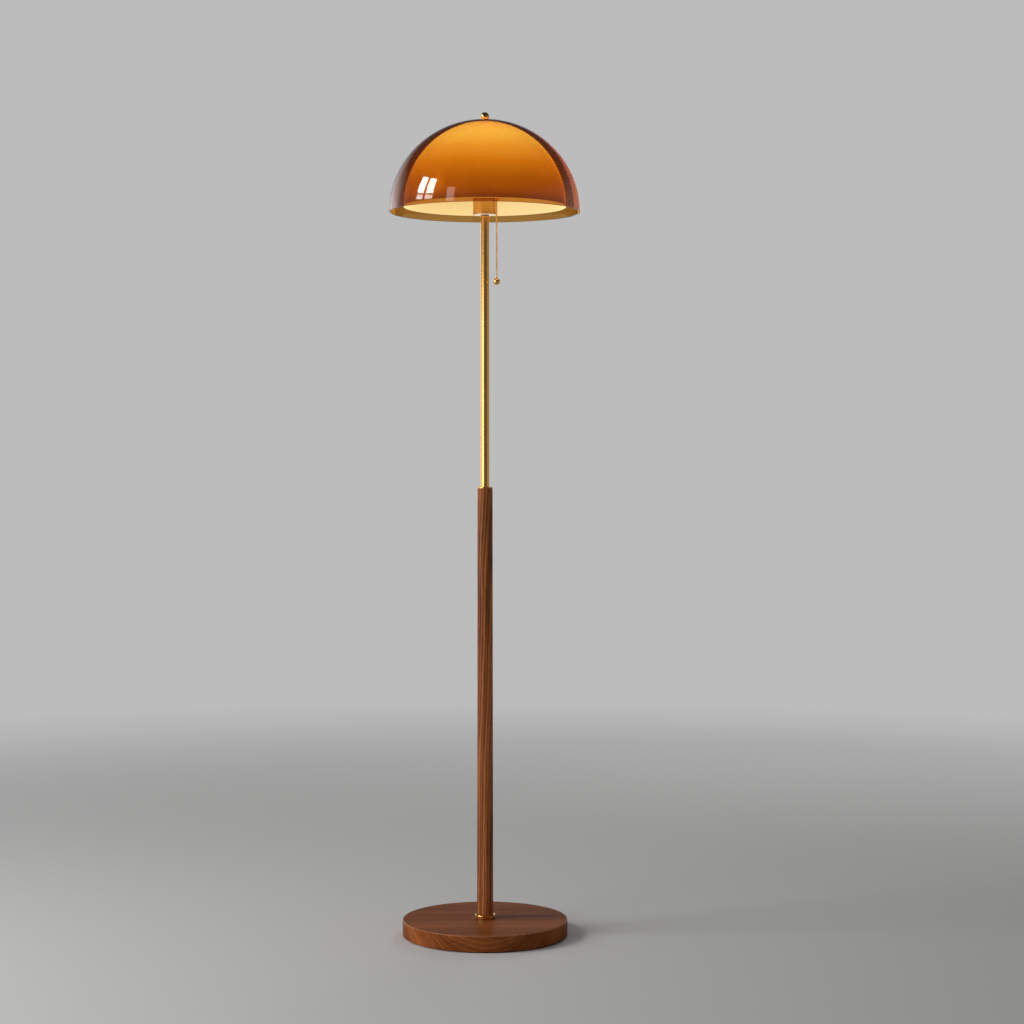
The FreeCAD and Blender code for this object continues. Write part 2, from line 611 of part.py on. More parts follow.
def pull_switch():
    pivot = "Sizes.pivot_radius"
    half = "Sizes.bracket_width / 2"
    sheet_metal = "Sizes.bracket_sheet"
    ear = "Sizes.pin_diameter / 2 + Sizes.bracket_ear"
    pin_hole = bar("bracket_hole", "Sizes.pin_diameter / 2 + Sizes.fit_gap",
                   "Sizes.bracket_width * 2", pivot, "-Sizes.bracket_width", PIVOT, BACK)
    ears = [block(f"bracket_ear_{side}", f"2 * ({ear})", sheet_metal,
                  f"{PIVOT} + {ear} - {HUB_TOP}", f"{pivot} - ({ear})", place, HUB_TOP)
            for side, place in (("front", f"-({half})"), ("back", f"{half} - {sheet_metal}"))]
    # The strap lies on the housing's hub beside the nipple's bore.
    strap = block("bracket_strap", f"2 * ({ear})", "Sizes.bracket_width", sheet_metal,
                  f"{pivot} - ({ear})", f"-({half})", HUB_TOP)
    bracket = cut("switch_bracket", joined("bracket_solid", strap, *ears), pin_hole)
    keep("switch_bracket", facing_guide(bracket))

    pin = bar("pin", "Sizes.pin_diameter / 2", "Sizes.bracket_width + 2 * Sizes.pin_overhang",
              pivot, f"-({half}) - Sizes.pin_overhang", PIVOT, BACK)
    keep("switch_pin", facing_guide(grouped("switch_pin", pin)))

    hole = bar("lever_hole", "(Sizes.pin_diameter + Sizes.running_gap) / 2",
               "Sizes.bracket_width * 2", pivot, "-Sizes.bracket_width", PIVOT, BACK)
    thick = "Sizes.lever_thickness"
    hub = bar("lever_hub", "Sizes.pin_diameter / 2 + Sizes.lever_hub_wall", thick, pivot,
              f"-{thick} / 2", PIVOT, BACK)
    arm = block("lever_arm", f"Sizes.pull_radius + Sizes.lever_tip - {pivot}", thick,
                "Sizes.lever_depth", pivot, f"-{thick} / 2", f"{PIVOT} - Sizes.lever_depth / 2")
    eye = bar("lever_eye", "(Sizes.eye_diameter + Sizes.running_gap) / 2",
              f"{thick} * 2", "Sizes.pull_radius", f"-{thick}", PIVOT, BACK)
    lever = cut("pull_lever", joined("lever_solid", hub, arm), hole, eye)
    keep("pull_lever", facing_guide(lever))

    rotor_start = f"{thick} / 2 + Sizes.side_gap"
    wheel = bar("rotor_wheel", "Sizes.rotor_diameter / 2 - Sizes.tooth_depth",
                "Sizes.rotor_width", pivot, rotor_start, PIVOT, BACK)
    teeth = [ratchet_tooth(index, rotor_start) for index in range(int(number("Sizes.rotor_teeth")))]
    rotor = cut("switch_rotor", joined("rotor_solid", wheel, *teeth), hole)
    keep("switch_rotor", facing_guide(rotor))

    spring = bar("spring_outside", "Sizes.spring_diameter / 2", "Sizes.spring_width", pivot,
                 f"-({thick} / 2) - Sizes.side_gap - Sizes.spring_width", PIVOT, BACK)
    inside = bar("spring_inside", "Sizes.spring_diameter / 2 - Sizes.spring_wire",
                 "Sizes.bracket_width * 2", pivot, "-Sizes.bracket_width", PIVOT, BACK)
    keep("return_spring", facing_guide(cut("return_spring", spring, inside)))

    leaf_place = f"{pivot} - Sizes.rotor_diameter / 2 - Sizes.leaf_gap"
    leaf_foot = f"({PIVOT} - Sizes.leaf_reach)"
    leaves = [block(f"contact_{index}", "Sizes.leaf_thickness", "Sizes.rotor_width",
                    f"{HOUSING_TOP} - {leaf_foot}", f"{leaf_place} - {index} * Sizes.leaf_pitch",
                    rotor_start, leaf_foot) for index in (0, 1)]
    keep("switch_contacts", facing_guide(grouped("switch_contacts", *leaves)))


def ratchet_tooth(index, start):
    """One square tooth of the switch rotor, about the lever's pin."""
    half = "Sizes.rotor_diameter / 2"
    tooth = doc.addObject("Part::Box", f"rotor_tooth_{index}")
    bind(tooth, Length=half, Width="Sizes.rotor_width", Height="Sizes.tooth_height")
    turn = f"({index} * 360 deg / Sizes.rotor_teeth)"
    tooth.Placement = FreeCAD.Placement(ORIGIN, FreeCAD.Rotation(BACK, -1.0))
    tooth.setExpression("Placement.Rotation.Angle", turn)
    return bind(tooth, x="Sizes.pivot_radius", y=start, z=PIVOT)


def chain():
    wall = "Sizes.guide_wall"
    width = "Sizes.guide_width"
    inner = f"({width} - 2 * {wall})"
    middle = "Sizes.pull_radius"
    floor_level = GUIDE_MOUTH
    height = f"({PIVOT} + Sizes.guide_top - {GUIDE_MOUTH})"
    box_start = "(Sizes.cup_diameter / 2 - Sizes.guide_overlap)"
    hollow_start = f"({box_start} - Sizes.guide_overlap)"
    # The guide is a hood with a round nose, closed on top and open below.
    outer_nose = bar("guide_nose", f"{width} / 2", height, middle, "0", floor_level)
    outer_box = block("guide_box", f"{middle} - {box_start}", width, height,
                      box_start, f"-{width} / 2", floor_level)
    inner_nose = bar("guide_hollow", f"{inner} / 2", height, middle, "0",
                     f"{floor_level} - {wall}")
    inner_box = block("guide_passage", f"{middle} - {hollow_start}", inner, height,
                      hollow_start, f"-{inner} / 2", f"{floor_level} - {wall}")
    cup_room = bar("guide_trim", "Sizes.cup_diameter / 2 + Sizes.fit_gap", f"3 * {height}",
                   "0", "0", f"{floor_level} - {height}")
    hood = cut("chain_guide", joined("guide_solid", outer_nose, outer_box),
               joined("guide_inside", inner_nose, inner_box), cup_room)
    keep("chain_guide", facing_guide(hood))

    # The connector hangs on the lever's eye by a fork with two cheeks and a cross pin.
    thin = "Sizes.fork_sheet"
    broad = "Sizes.fork_width"
    near = f"{middle} - {broad} / 2"
    cheek_gap = "(Sizes.lever_thickness + 2 * Sizes.side_gap)"
    span = f"({cheek_gap} + 2 * {thin})"
    body_top = f"({PIVOT} - Sizes.lever_depth / 2 - Sizes.fork_room)"
    body_foot = f"({CHAIN_TOP} + Sizes.chain_gap)"
    fork_foot = f"({body_top} - {thin})"
    body = bar("connector_body", "Sizes.connector_diameter / 2",
               f"{body_top} - {body_foot}", middle, "0", body_foot)
    cheeks = [block(f"connector_cheek_{side}", broad, thin,
                    f"{PIVOT} + Sizes.fork_head - {fork_foot}", near, place, fork_foot)
              for side, place in (("front", f"-{span} / 2"), ("back", f"{cheek_gap} / 2"))]
    bridge = block("connector_bridge", broad, span, thin, near, f"-{span} / 2", fork_foot)
    cross = bar("connector_pin", "Sizes.eye_diameter / 2", span, middle,
                f"-{span} / 2", PIVOT, BACK)
    keep("chain_connector", facing_guide(joined("chain_connector", body, bridge, cross, *cheeks)))

    # The chain's top end is round about the point that it swings from.
    link = "(Sizes.chain_diameter / 2)"
    run = turned("chain_run", [
        ("0", CHAIN_BOTTOM),
        (link, CHAIN_BOTTOM),
        (link, f"{CHAIN_TOP} - {link}", link, 1),
        ("0", CHAIN_TOP),
    ], node=False)
    bind(run, x=middle)
    keep("pull_chain", facing_guide(grouped("pull_chain", run)))

    radius = "(Sizes.pull_ball_diameter / 2)"
    seat_radius = "Sizes.chain_diameter / 2"
    centre = f"({CHAIN_BOTTOM} - sqrt({radius} ^ 2 - ({seat_radius}) ^ 2))"
    ball = turned("pull_ball", [
        ("0", f"{centre} - {radius}", radius, 1),
        (radius, centre, radius, 1),
        (seat_radius, CHAIN_BOTTOM),
        ("0", CHAIN_BOTTOM),
    ], node=False)
    bind(ball, x=middle)
    keep("pull_ball", facing_guide(grouped("pull_ball", ball)))


def harp():
    width = "Sizes.saddle_width"
    metal = "Sizes.saddle_sheet"
    span = "Sizes.saddle_span"
    strap = block("saddle_strap", width, span, metal, f"-{width} / 2", f"-{span} / 2",
                  SADDLE_BOTTOM)
    arms = [block(f"saddle_arm_{side}", width, metal, "Sizes.saddle_rise", f"-{width} / 2",
                  place, SADDLE_BOTTOM)
            for side, place in (("front", f"-{span} / 2"), ("back", f"{span} / 2 - {metal}"))]
    hole = bar("saddle_hole", "Sizes.rod_diameter / 2 + Sizes.fit_gap", f"{metal} * 3", "0", "0",
               f"{SADDLE_BOTTOM} - {metal}")
    keep("harp_saddle", cut("harp_saddle", joined("saddle_solid", strap, *arms), hole))

    foot_y = f"({span} / 2 - {metal} / 2)"
    foot_z = SADDLE_TOP
    ferrules = [bar(f"ferrule_{sign}", "Sizes.ferrule_diameter / 2", "Sizes.ferrule_length",
                    "0", f"{sign} * {foot_y}", foot_z) for sign in (-1, 1)]
    bores = [bar(f"ferrule_bore_{sign}", "Sizes.harp_wire / 2 + Sizes.fit_gap",
                 "Sizes.ferrule_length * 2", "0", f"{sign} * {foot_y}",
                 f"{foot_z} - Sizes.ferrule_length / 2") for sign in (-1, 1)]
    keep("harp_ferrules", grouped("harp_ferrules", *[
        cut(f"ferrule_{index}", ferrule, bore)
        for index, (ferrule, bore) in enumerate(zip(ferrules, bores))]))

    keep("harp_wire", harp_bow(number(foot_y), number(foot_z)))

    plate = "Sizes.stud_plate_diameter / 2"
    stud = "Sizes.stud_diameter / 2"
    stud_top = f"{SHADE_TOP} + Sizes.stud_reach"
    turned("harp_stud", [
        ("0", HARP_TOP),
        (plate, HARP_TOP),
        (plate, STUD_PLATE),
        (stud, STUD_PLATE),
        (stud, stud_top),
        ("0", stud_top),
    ])


def harp_bow(foot_y, foot_z):
    """The bow of round wire: up from each ferrule, out round the bulb and in to the stud."""
    wire = number("Sizes.harp_wire")
    half = number("Sizes.harp_width") / 2
    shoulder = number("Sizes.harp_shoulder")
    top = number(HARP_TOP) - wire / 2
    side_foot = foot_z + number("Sizes.harp_side_level")
    right = [(foot_y, foot_z), (foot_y, foot_z + number("Sizes.harp_foot_run")),
             (half, side_foot), (half, side_foot + number("Sizes.harp_side_run")),
             (shoulder, top)]
    route = [FreeCAD.Vector(0, -y, z) for y, z in right]
    route += [FreeCAD.Vector(0, y, z) for y, z in reversed(right)]
    path = rounded_path(route, ROUNDED_SHARE)
    section = Part.Wire(Part.Circle(route[0], route[1] - route[0], wire / 2).toShape())
    bow = doc.addObject("Part::Feature", "harp_wire")
    bow.Shape = path.makePipeShell([section], True, False)
    return bow


def rounded_path(route, share, least=None):
    """A wire of straight runs through the route's points, each corner rounded by an arc."""
    edges = []
    start = route[0]
    for before, corner, after in zip(route, route[1:], route[2:]):
        back, ahead = before - corner, after - corner
        turn = math.pi - back.getAngle(ahead)
        reach = share * min(back.Length, ahead.Length)
        if least is not None:
            reach = min(reach, least * math.tan(turn / 2))
        radius = reach / math.tan(turn / 2)
        first = corner + FreeCAD.Vector(back).normalize() * reach
        last = corner + FreeCAD.Vector(ahead).normalize() * reach
        inward = (FreeCAD.Vector(back).normalize() + FreeCAD.Vector(ahead).normalize()).normalize()
        middle = corner + inward * (radius / math.cos(turn / 2) - radius)
        edges.append(Part.LineSegment(start, first).toShape())
        edges.append(Part.Arc(first, middle, last).toShape())
        start = last
    edges.append(Part.LineSegment(start, route[-1]).toShape())
    return Part.Wire(edges)


def lamp_lead():
    """The two-core lead from the gland's inner end, through the weight's slot and up the rod."""
    radius = number("Sizes.lead_diameter") / 2
    bend = number("Sizes.lead_bend")
    low = number("Sizes.felt_thickness") + radius + number("Sizes.lead_floor_gap")
    level = number("Sizes.gland_height")
    back = number("Sizes.foot_diameter") / 2
    start_y = back + number("Sizes.gland_flange_thickness") - number("Sizes.gland_length")
    drop_y = start_y - number("Sizes.lead_first_run")
    route = [
        FreeCAD.Vector(0, start_y, level),
        FreeCAD.Vector(0, drop_y, level),
        FreeCAD.Vector(0, drop_y - number("Sizes.lead_drop_run"), low),
        FreeCAD.Vector(0, 0, low),
        FreeCAD.Vector(0, 0, number(LEAD_TOP)),
    ]
    path = rounded_path(route, ROUNDED_SHARE, bend)
    section = Part.Wire(Part.Circle(route[0], route[1] - route[0], radius).toShape())
    lead = doc.addObject("Part::Feature", "lamp_lead")
    lead.Shape = path.makePipeShell([section], True, False)
    keep("lamp_lead", lead)
    # The two cores leave the sheath inside the housing and end under the lamp holder.
    core = "Sizes.core_diameter / 2"
    cores = [bar(f"core_{side}", core, f"{HOUSING_TOP} - {LEAD_TOP}",
                 f"-{core} - Sizes.core_gap", f"{side} * ({core} + Sizes.core_gap / 2)", LEAD_TOP)
             for side in (-1, 1)]
    keep("core_wires", facing_guide(grouped("core_wires", *cores)))


def dome(name, radius, height, wall, rim):
    """Half an ellipse of revolution with an even wall, flat at the rim, bored at the top."""
    radius, height, wall, rim = (number(text) for text in (radius, height, wall, rim))
    bore = number("Sizes.shade_bore") / 2

    def quarter(across, up):
        # An ellipse whose longer half-axis may be either way: r = across cos u, z = up sin u.
        end = math.acos(bore / across)
        steps = [end * index / DOME_STEPS for index in range(DOME_STEPS + 1)]
        points = [FreeCAD.Vector(across * math.cos(u), 0, rim + up * math.sin(u)) for u in steps]
        curve = Part.BSplineCurve()
        curve.interpolate(points, InitialTangent=UP, FinalTangent=FreeCAD.Vector(
            -across * math.sin(end), 0, up * math.cos(end)))
        return curve.toShape(), points[0], points[-1]

    outer, outer_rim, outer_top = quarter(radius, height)
    inner, inner_rim, inner_top = quarter(radius - wall, height - wall)
    outline = Part.Wire([
        outer,
        Part.LineSegment(outer_top, inner_top).toShape(),
        inner,
        Part.LineSegment(inner_rim, outer_rim).toShape(),
    ])
    shell = doc.addObject("Part::Feature", name)
    shell.Shape = Part.Face(outline).revolve(ORIGIN, UP, 360)
    keep(name, shell)


def shades():
    dome("amber_shade", "Sizes.shade_diameter / 2", "Sizes.shade_height", "Sizes.shade_wall",
         SHADE_RIM)
    dome("opal_diffuser", "Sizes.diffuser_diameter / 2", f"{DIFFUSER_TOP} - {DIFFUSER_RIM}",
         "Sizes.diffuser_wall", DIFFUSER_RIM)
    hole = "Sizes.stud_diameter / 2 + Sizes.rod_clearance"
    # Each washer stops where the dome that curves down over it would touch its edge.
    washer = "Sizes.shade_washer_diameter / 2"
    inner_height = f"({WASHER_TOP} - {DIFFUSER_RIM})"
    inner_radius = "(Sizes.diffuser_diameter / 2 - Sizes.diffuser_wall)"
    washer_face = (f"{DIFFUSER_RIM} + {inner_height} * "
                   f"sqrt(1 - (({washer}) / {inner_radius}) ^ 2)")
    ring("shade_washer", hole, washer, STUD_PLATE, washer_face)
    spacer = "Sizes.spacer_diameter / 2"
    gap_height = "(Sizes.shade_height - Sizes.shade_wall)"
    gap_radius = "(Sizes.shade_diameter / 2 - Sizes.shade_wall)"
    spacer_face = f"{SHADE_RIM} + {gap_height} * sqrt(1 - (({spacer}) / {gap_radius}) ^ 2)"
    ring("shade_spacer", hole, spacer, DIFFUSER_TOP, spacer_face)


def finial():
    radius = "Sizes.finial_diameter / 2"
    depth = f"({FINIAL_CENTRE} - {SHADE_TOP})"
    foot_radius = f"sqrt(({radius}) ^ 2 - {depth} ^ 2)"
    bore = "Sizes.stud_diameter / 2 + Sizes.fit_gap"
    bore_top = f"{SHADE_TOP} + Sizes.stud_reach + Sizes.stud_end_gap"
    turned("finial", [
        (bore, SHADE_TOP),
        (foot_radius, SHADE_TOP, radius, 1),
        (radius, FINIAL_CENTRE, radius, 1),
        ("0", f"{FINIAL_CENTRE} + {radius}"),
        ("0", bore_top),
        (bore, bore_top),
    ])


def check_and_write():
    """Stops on any failed object or bad shape, then writes one file per sub-part."""
    doc.recompute()
    for item in doc.Objects:
        if "Invalid" in item.State or "Error" in item.State:
            raise RuntimeError(f"{item.Label} did not compute: {item.State}")
    for name, item in nodes.items():
        if item.Shape.isNull() or not item.Shape.isValid():
            raise RuntimeError(f"{name} has no valid shape")
    os.makedirs("parts", exist_ok=True)
    for name, item in nodes.items():
        item.Shape.exportStep(os.path.join("parts", f"{name}.step"))
        print(f"{name}: {len(item.Shape.Solids)} solid(s), {item.Shape.Volume:.0f} mm3")


foot()
cord_gland()
column()
tube()
cup()
lamp_holder()
bulb()
pull_switch()
chain()
harp()
lamp_lead()
shades()
finial()
check_and_write()
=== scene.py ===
import json
import math

import bpy
import numpy as np
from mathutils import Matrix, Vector


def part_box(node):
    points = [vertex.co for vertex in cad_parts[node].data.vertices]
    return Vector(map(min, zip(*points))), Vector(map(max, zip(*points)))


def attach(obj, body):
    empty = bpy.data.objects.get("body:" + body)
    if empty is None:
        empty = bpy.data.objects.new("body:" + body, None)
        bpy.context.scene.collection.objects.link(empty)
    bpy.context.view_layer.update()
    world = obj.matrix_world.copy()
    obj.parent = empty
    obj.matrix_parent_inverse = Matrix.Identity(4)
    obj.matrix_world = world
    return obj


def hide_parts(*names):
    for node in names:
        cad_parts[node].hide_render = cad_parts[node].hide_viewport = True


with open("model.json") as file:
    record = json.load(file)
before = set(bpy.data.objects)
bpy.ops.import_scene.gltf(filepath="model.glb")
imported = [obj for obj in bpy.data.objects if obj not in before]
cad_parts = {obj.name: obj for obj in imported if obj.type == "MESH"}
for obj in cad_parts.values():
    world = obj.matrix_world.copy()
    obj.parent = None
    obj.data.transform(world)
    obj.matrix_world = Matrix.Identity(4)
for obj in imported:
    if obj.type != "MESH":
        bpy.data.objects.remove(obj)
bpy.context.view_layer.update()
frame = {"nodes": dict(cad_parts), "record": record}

# A floor lamp with two nested domes. Metres, +Z up, -Y to the front.

MM = 0.001
FRAME_PIXELS = 1024
ROD_BORE = 5.3 * MM
DOME_WALL = 2.5 * MM
DOME_BORE = 5 * MM
DOME_TURNS = 256
CHAIN_PITCH = 1.3 * MM


# ------------------------------------------------------------------ camera

PHOTO_FOCAL_PIXELS = 2181.0
SENSOR_MM = 36.0
EYE_DISTANCE = 4.0375
EYE_HEIGHT = 0.8928
EYE_PITCH_DOWN = math.radians(1.50)
LAMP_AXIS_PIXEL_X = 485.0


def camera():
    """A camera in front of the lamp, pitched a little down, with the lamp left of centre."""
    data = bpy.data.cameras.new("view")
    data.sensor_width = SENSOR_MM
    data.lens = PHOTO_FOCAL_PIXELS * SENSOR_MM / FRAME_PIXELS
    data.clip_end = 100
    eye = bpy.data.objects.new("view", data)
    yaw = math.atan((FRAME_PIXELS / 2 - LAMP_AXIS_PIXEL_X) / PHOTO_FOCAL_PIXELS)
    eye.location = (0, -EYE_DISTANCE, EYE_HEIGHT)
    eye.rotation_euler = (math.pi / 2 - EYE_PITCH_DOWN, 0, -yaw)
    bpy.context.scene.collection.objects.link(eye)
    bpy.context.scene.camera = eye


# ------------------------------------------------------------------ meshes

def mesh_piece(name, points, faces, material, body, nodes, normals):
    """A named piece from arrays of points and faces, smooth, riding on its body."""
    data = bpy.data.meshes.new(name)
    data.from_pydata(np.asarray(points).tolist(), [], [list(f) for f in faces])
    data.validate()
    data.shade_smooth()
    if len(normals) == len(data.vertices):
        data.normals_split_custom_set_from_vertices(np.asarray(normals).tolist())
    piece = bpy.data.objects.new(name, data)
    bpy.context.scene.collection.objects.link(piece)
    materials = material if isinstance(material, (list, tuple)) else [material]
    for entry in materials:
        data.materials.append(entry)
    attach(piece, body)
    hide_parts(*nodes)
    return piece


def rounded(corners, steps=4):
    """An outline with each corner rounded by an arc.

    A corner is (radius, level, round). The arc starts and ends where it touches the two sides,
    round * tan(turn / 2) from the corner, and turns evenly in between. The solid is on the left
    of the way along the outline, so a point's normal is its direction turned right."""
    corners = np.asarray(corners, float)
    spots, rounds = corners[:, :2], corners[:, 2]
    ahead = np.roll(spots, -1, axis=0) - spots
    ahead /= np.linalg.norm(ahead, axis=1)[:, None]
    behind = np.roll(ahead, 1, axis=0)
    turn = np.arctan2(behind[:, 0] * ahead[:, 1] - behind[:, 1] * ahead[:, 0],
                      (behind * ahead).sum(1))
    part = np.linspace(0, 1, steps + 1)
    angle = np.arctan2(behind[:, 1], behind[:, 0])[:, None] + turn[:, None] * part
    normal = np.stack([np.sin(angle), -np.cos(angle)], axis=2)
    side = np.where(turn < 0, -1.0, 1.0)[:, None, None]
    reach = rounds * np.tan(np.abs(turn) / 2)
    start = spots - behind * reach[:, None]
    centre = start - side[:, 0] * normal[:, 0] * rounds[:, None]
    points = centre[:, None] + side * normal * rounds[:, None, None]
    return points.reshape(-1, 2), normal.reshape(-1, 2)


def revolve(points, normals, closed, turns=128):
    """A surface of revolution: the point (r, z) at turn a is (r cos a, r sin a, z).

    An open outline starts and ends on the axis, where the ring of points is one point."""
    angle = np.linspace(0, 2 * np.pi, turns, endpoint=False)
    circle = np.stack([np.cos(angle), np.sin(angle)], axis=1)

    def carried(pairs):
        flat = pairs[:, None, 0, None] * circle[None]
        return np.concatenate([flat, np.repeat(pairs[:, None, 1:], turns, axis=1)], axis=2)

    grid, lean = carried(points).reshape(-1, 3), carried(normals).reshape(-1, 3)
    rows = len(points)
    first = np.arange(rows if closed else rows - 1)
    low = first[:, None] * turns + np.arange(turns)
    next_column = first[:, None] * turns + (np.arange(turns) + 1) % turns
    upper = ((first + 1) % rows)[:, None] * turns
    faces = np.stack([low, next_column, upper + (np.arange(turns) + 1) % turns,
                      upper + np.arange(turns)], axis=2).reshape(-1, 4)
    if closed:
        return grid, faces, lean
    # Rings of no size become one point, and the faces there become triangles.
    target = np.arange(len(grid))
    for row in (0, rows - 1):
        if points[row, 0] < 1e-9:
            target[row * turns:(row + 1) * turns] = row * turns
    faces = target[faces]
    used, index = np.unique(faces, return_inverse=True)
    faces = index.reshape(faces.shape)
    tidy = [list(dict.fromkeys(face)) for face in faces.tolist()]
    return grid[used], [face for face in tidy if len(face) > 2], lean[used]


def turned(name, outline, material, body, nodes, closed=True, turns=128, place=(0, 0)):
    """A piece turned about the upright line through place, from points and normals."""
    points, normals = outline
    grid, faces, lean = revolve(np.asarray(points), np.asarray(normals), closed, turns)
    grid = grid + np.array([place[0], place[1], 0])
    return mesh_piece(name, grid, faces, material, body, nodes, lean)


def arc(centre, radius, start, end, steps):
    """Points and outward normals of an arc in the (radius, level) plane, angles in degrees."""
    angle = np.radians(np.linspace(start, end, steps + 1))
    normal = np.stack([np.cos(angle), np.sin(angle)], axis=1)
    return np.asarray(centre) + radius * normal, normal


def chained(*runs):
    """Several runs of points and normals as one outline."""
    return np.concatenate([run[0] for run in runs]), np.concatenate([run[1] for run in runs])


# ------------------------------------------------------------------ shader groups

def group(name, inputs, outputs):
    """A shader node group with named sockets, and its input and output nodes."""
    tree = bpy.data.node_groups.new(name, "ShaderNodeTree")
    kinds = {"float": "NodeSocketFloat", "color": "NodeSocketColor", "vector": "NodeSocketVector"}
    for label, kind, value in inputs:
        socket = tree.interface.new_socket(label, in_out="INPUT", socket_type=kinds[kind])
        if value is not None:
            socket.default_value = value
    for label, kind in outputs:
        tree.interface.new_socket(label, in_out="OUTPUT", socket_type=kinds[kind])
    return tree, tree.nodes.new("NodeGroupInput"), tree.nodes.new("NodeGroupOutput")


def wire(tree, source, target):
    tree.links.new(source, target)


def node(tree, kind, links=None, **settings):
    """A node with its settings, and its inputs linked or set."""
    made = tree.nodes.new(kind)
    for key, value in settings.items():
        setattr(made, key, value)
    for key, value in (links or {}).items():
        if isinstance(value, bpy.types.NodeSocket):
            tree.links.new(value, made.inputs[key])
        else:
            made.inputs[key].default_value = value
    return made


def maths(tree, operation, a, b=0.0, clamp=False):
    made = node(tree, "ShaderNodeMath", {0: a, 1: b}, operation=operation, use_clamp=clamp)
    return made.outputs[0]


def ramp(tree, value, stops):
    """A colour ramp over value; a stop is (place, colour)."""
    made = node(tree, "ShaderNodeValToRGB", {0: value})
    elements = made.color_ramp.elements
    while len(elements) < len(stops):
        elements.new(0.5)
    for element, (place, color) in zip(elements, stops):
        element.position = place
        element.color = (*color, 1)
    return made.outputs["Color"]


def mixed(tree, factor, a, b):
    made = node(tree, "ShaderNodeMix", data_type="RGBA")
    for index, value in ((0, factor), (6, a), (7, b)):
        if isinstance(value, bpy.types.NodeSocket):
            tree.links.new(value, made.inputs[index])
        else:
            made.inputs[index].default_value = value
    return made.outputs[2]


def remap(tree, value, low, high, to_low=0.0, to_high=1.0):
    made = node(tree, "ShaderNodeMapRange", {
        "Value": value, "From Min": low, "From Max": high, "To Min": to_low, "To Max": to_high})
    return made.outputs["Result"]


def walnut_group():
    """Walnut sawn from a log whose heart lies beside the piece, along local X.

    The ring number at a point is its distance from the heart, bent a little by slow noise.
    Its sine gives the fine late-wood lines, a slow noise over it gives the broad bands, and
    noise stretched along the grain gives the streaks and the short dark pores."""
    tree, inside, outside = group("walnut_grain", [
        ("Vector", "vector", None),
        ("Light", "color", (0.3, 0.15, 0.08, 1)),
        ("Dark", "color", (0.1, 0.045, 0.02, 1)),
        ("Rings", "float", 190.0),
        ("Bands", "float", 30.0),
        ("Waver", "float", 0.02)],
        [("Color", "color"), ("Roughness", "float"), ("Height", "float")])
    source = inside.outputs

    def stretched(vector, along, across, detail, roughness):
        way = node(tree, "ShaderNodeMapping", {
            "Vector": vector, "Scale": (along, across, across)}).outputs[0]
        return node(tree, "ShaderNodeTexNoise", {
            "Vector": way, "Scale": 1.0, "Detail": detail, "Roughness": roughness})

    drift = stretched(source["Vector"], 2.2, 14.0, 3.0, 0.5)
    push = node(tree, "ShaderNodeVectorMath", {0: drift.outputs["Color"], 1: (0.5, 0.5, 0.5)},
                operation="SUBTRACT").outputs[0]
    shift = node(tree, "ShaderNodeVectorMath", {0: push}, operation="SCALE")
    wire(tree, source["Waver"], shift.inputs["Scale"])
    bent = node(tree, "ShaderNodeVectorMath", {0: source["Vector"], 1: shift.outputs[0]},
                operation="ADD").outputs[0]
    flat = node(tree, "ShaderNodeVectorMath", {0: bent, 1: (0.06, 1.0, 1.0)},
                operation="MULTIPLY").outputs[0]
    ring = node(tree, "ShaderNodeVectorMath", {0: flat}, operation="LENGTH").outputs["Value"]
    turn = maths(tree, "MULTIPLY", ring, maths(tree, "MULTIPLY", source["Rings"], 2 * math.pi))
    line = maths(tree, "POWER", remap(tree, maths(tree, "SINE", turn), -1.0, 1.0), 2.2)
    slow = node(tree, "ShaderNodeTexNoise", {
        "W": maths(tree, "MULTIPLY", ring, source["Bands"]), "Scale": 1.0, "Detail": 2.0,
        "Roughness": 0.55}, noise_dimensions="1D").outputs["Fac"]
    band = remap(tree, slow, 0.32, 0.68)
    broad = stretched(bent, 3.0, 34.0, 2.0, 0.5).outputs["Fac"]
    streak = stretched(bent, 7.0, 230.0, 4.0, 0.65).outputs["Fac"]
    pore = remap(tree, stretched(bent, 60.0, 1500.0, 2.0, 0.6).outputs["Fac"], 0.56, 0.70)
    tone = maths(tree, "ADD", maths(tree, "MULTIPLY", band, 0.42),
                 maths(tree, "MULTIPLY", line, 0.20))
    tone = maths(tree, "ADD", tone, maths(tree, "MULTIPLY", streak, 0.55))
    tone = maths(tree, "ADD", tone, maths(tree, "MULTIPLY", broad, 0.45))
    tone = remap(tree, tone, 0.48, 1.0)
    base = mixed(tree, tone, source["Light"], source["Dark"])
    darker = mixed(tree, maths(tree, "MULTIPLY", pore, 0.55), base, (0.018, 0.007, 0.003, 1))
    wire(tree, darker, outside.inputs["Color"])
    rough = maths(tree, "ADD", maths(tree, "MULTIPLY", streak, 0.22), 0.24)
    wire(tree, maths(tree, "ADD", rough, maths(tree, "MULTIPLY", pore, 0.15)),
         outside.inputs["Roughness"])
    height = maths(tree, "SUBTRACT", maths(tree, "MULTIPLY", streak, 0.35), pore)
    wire(tree, height, outside.inputs["Height"])
    return tree


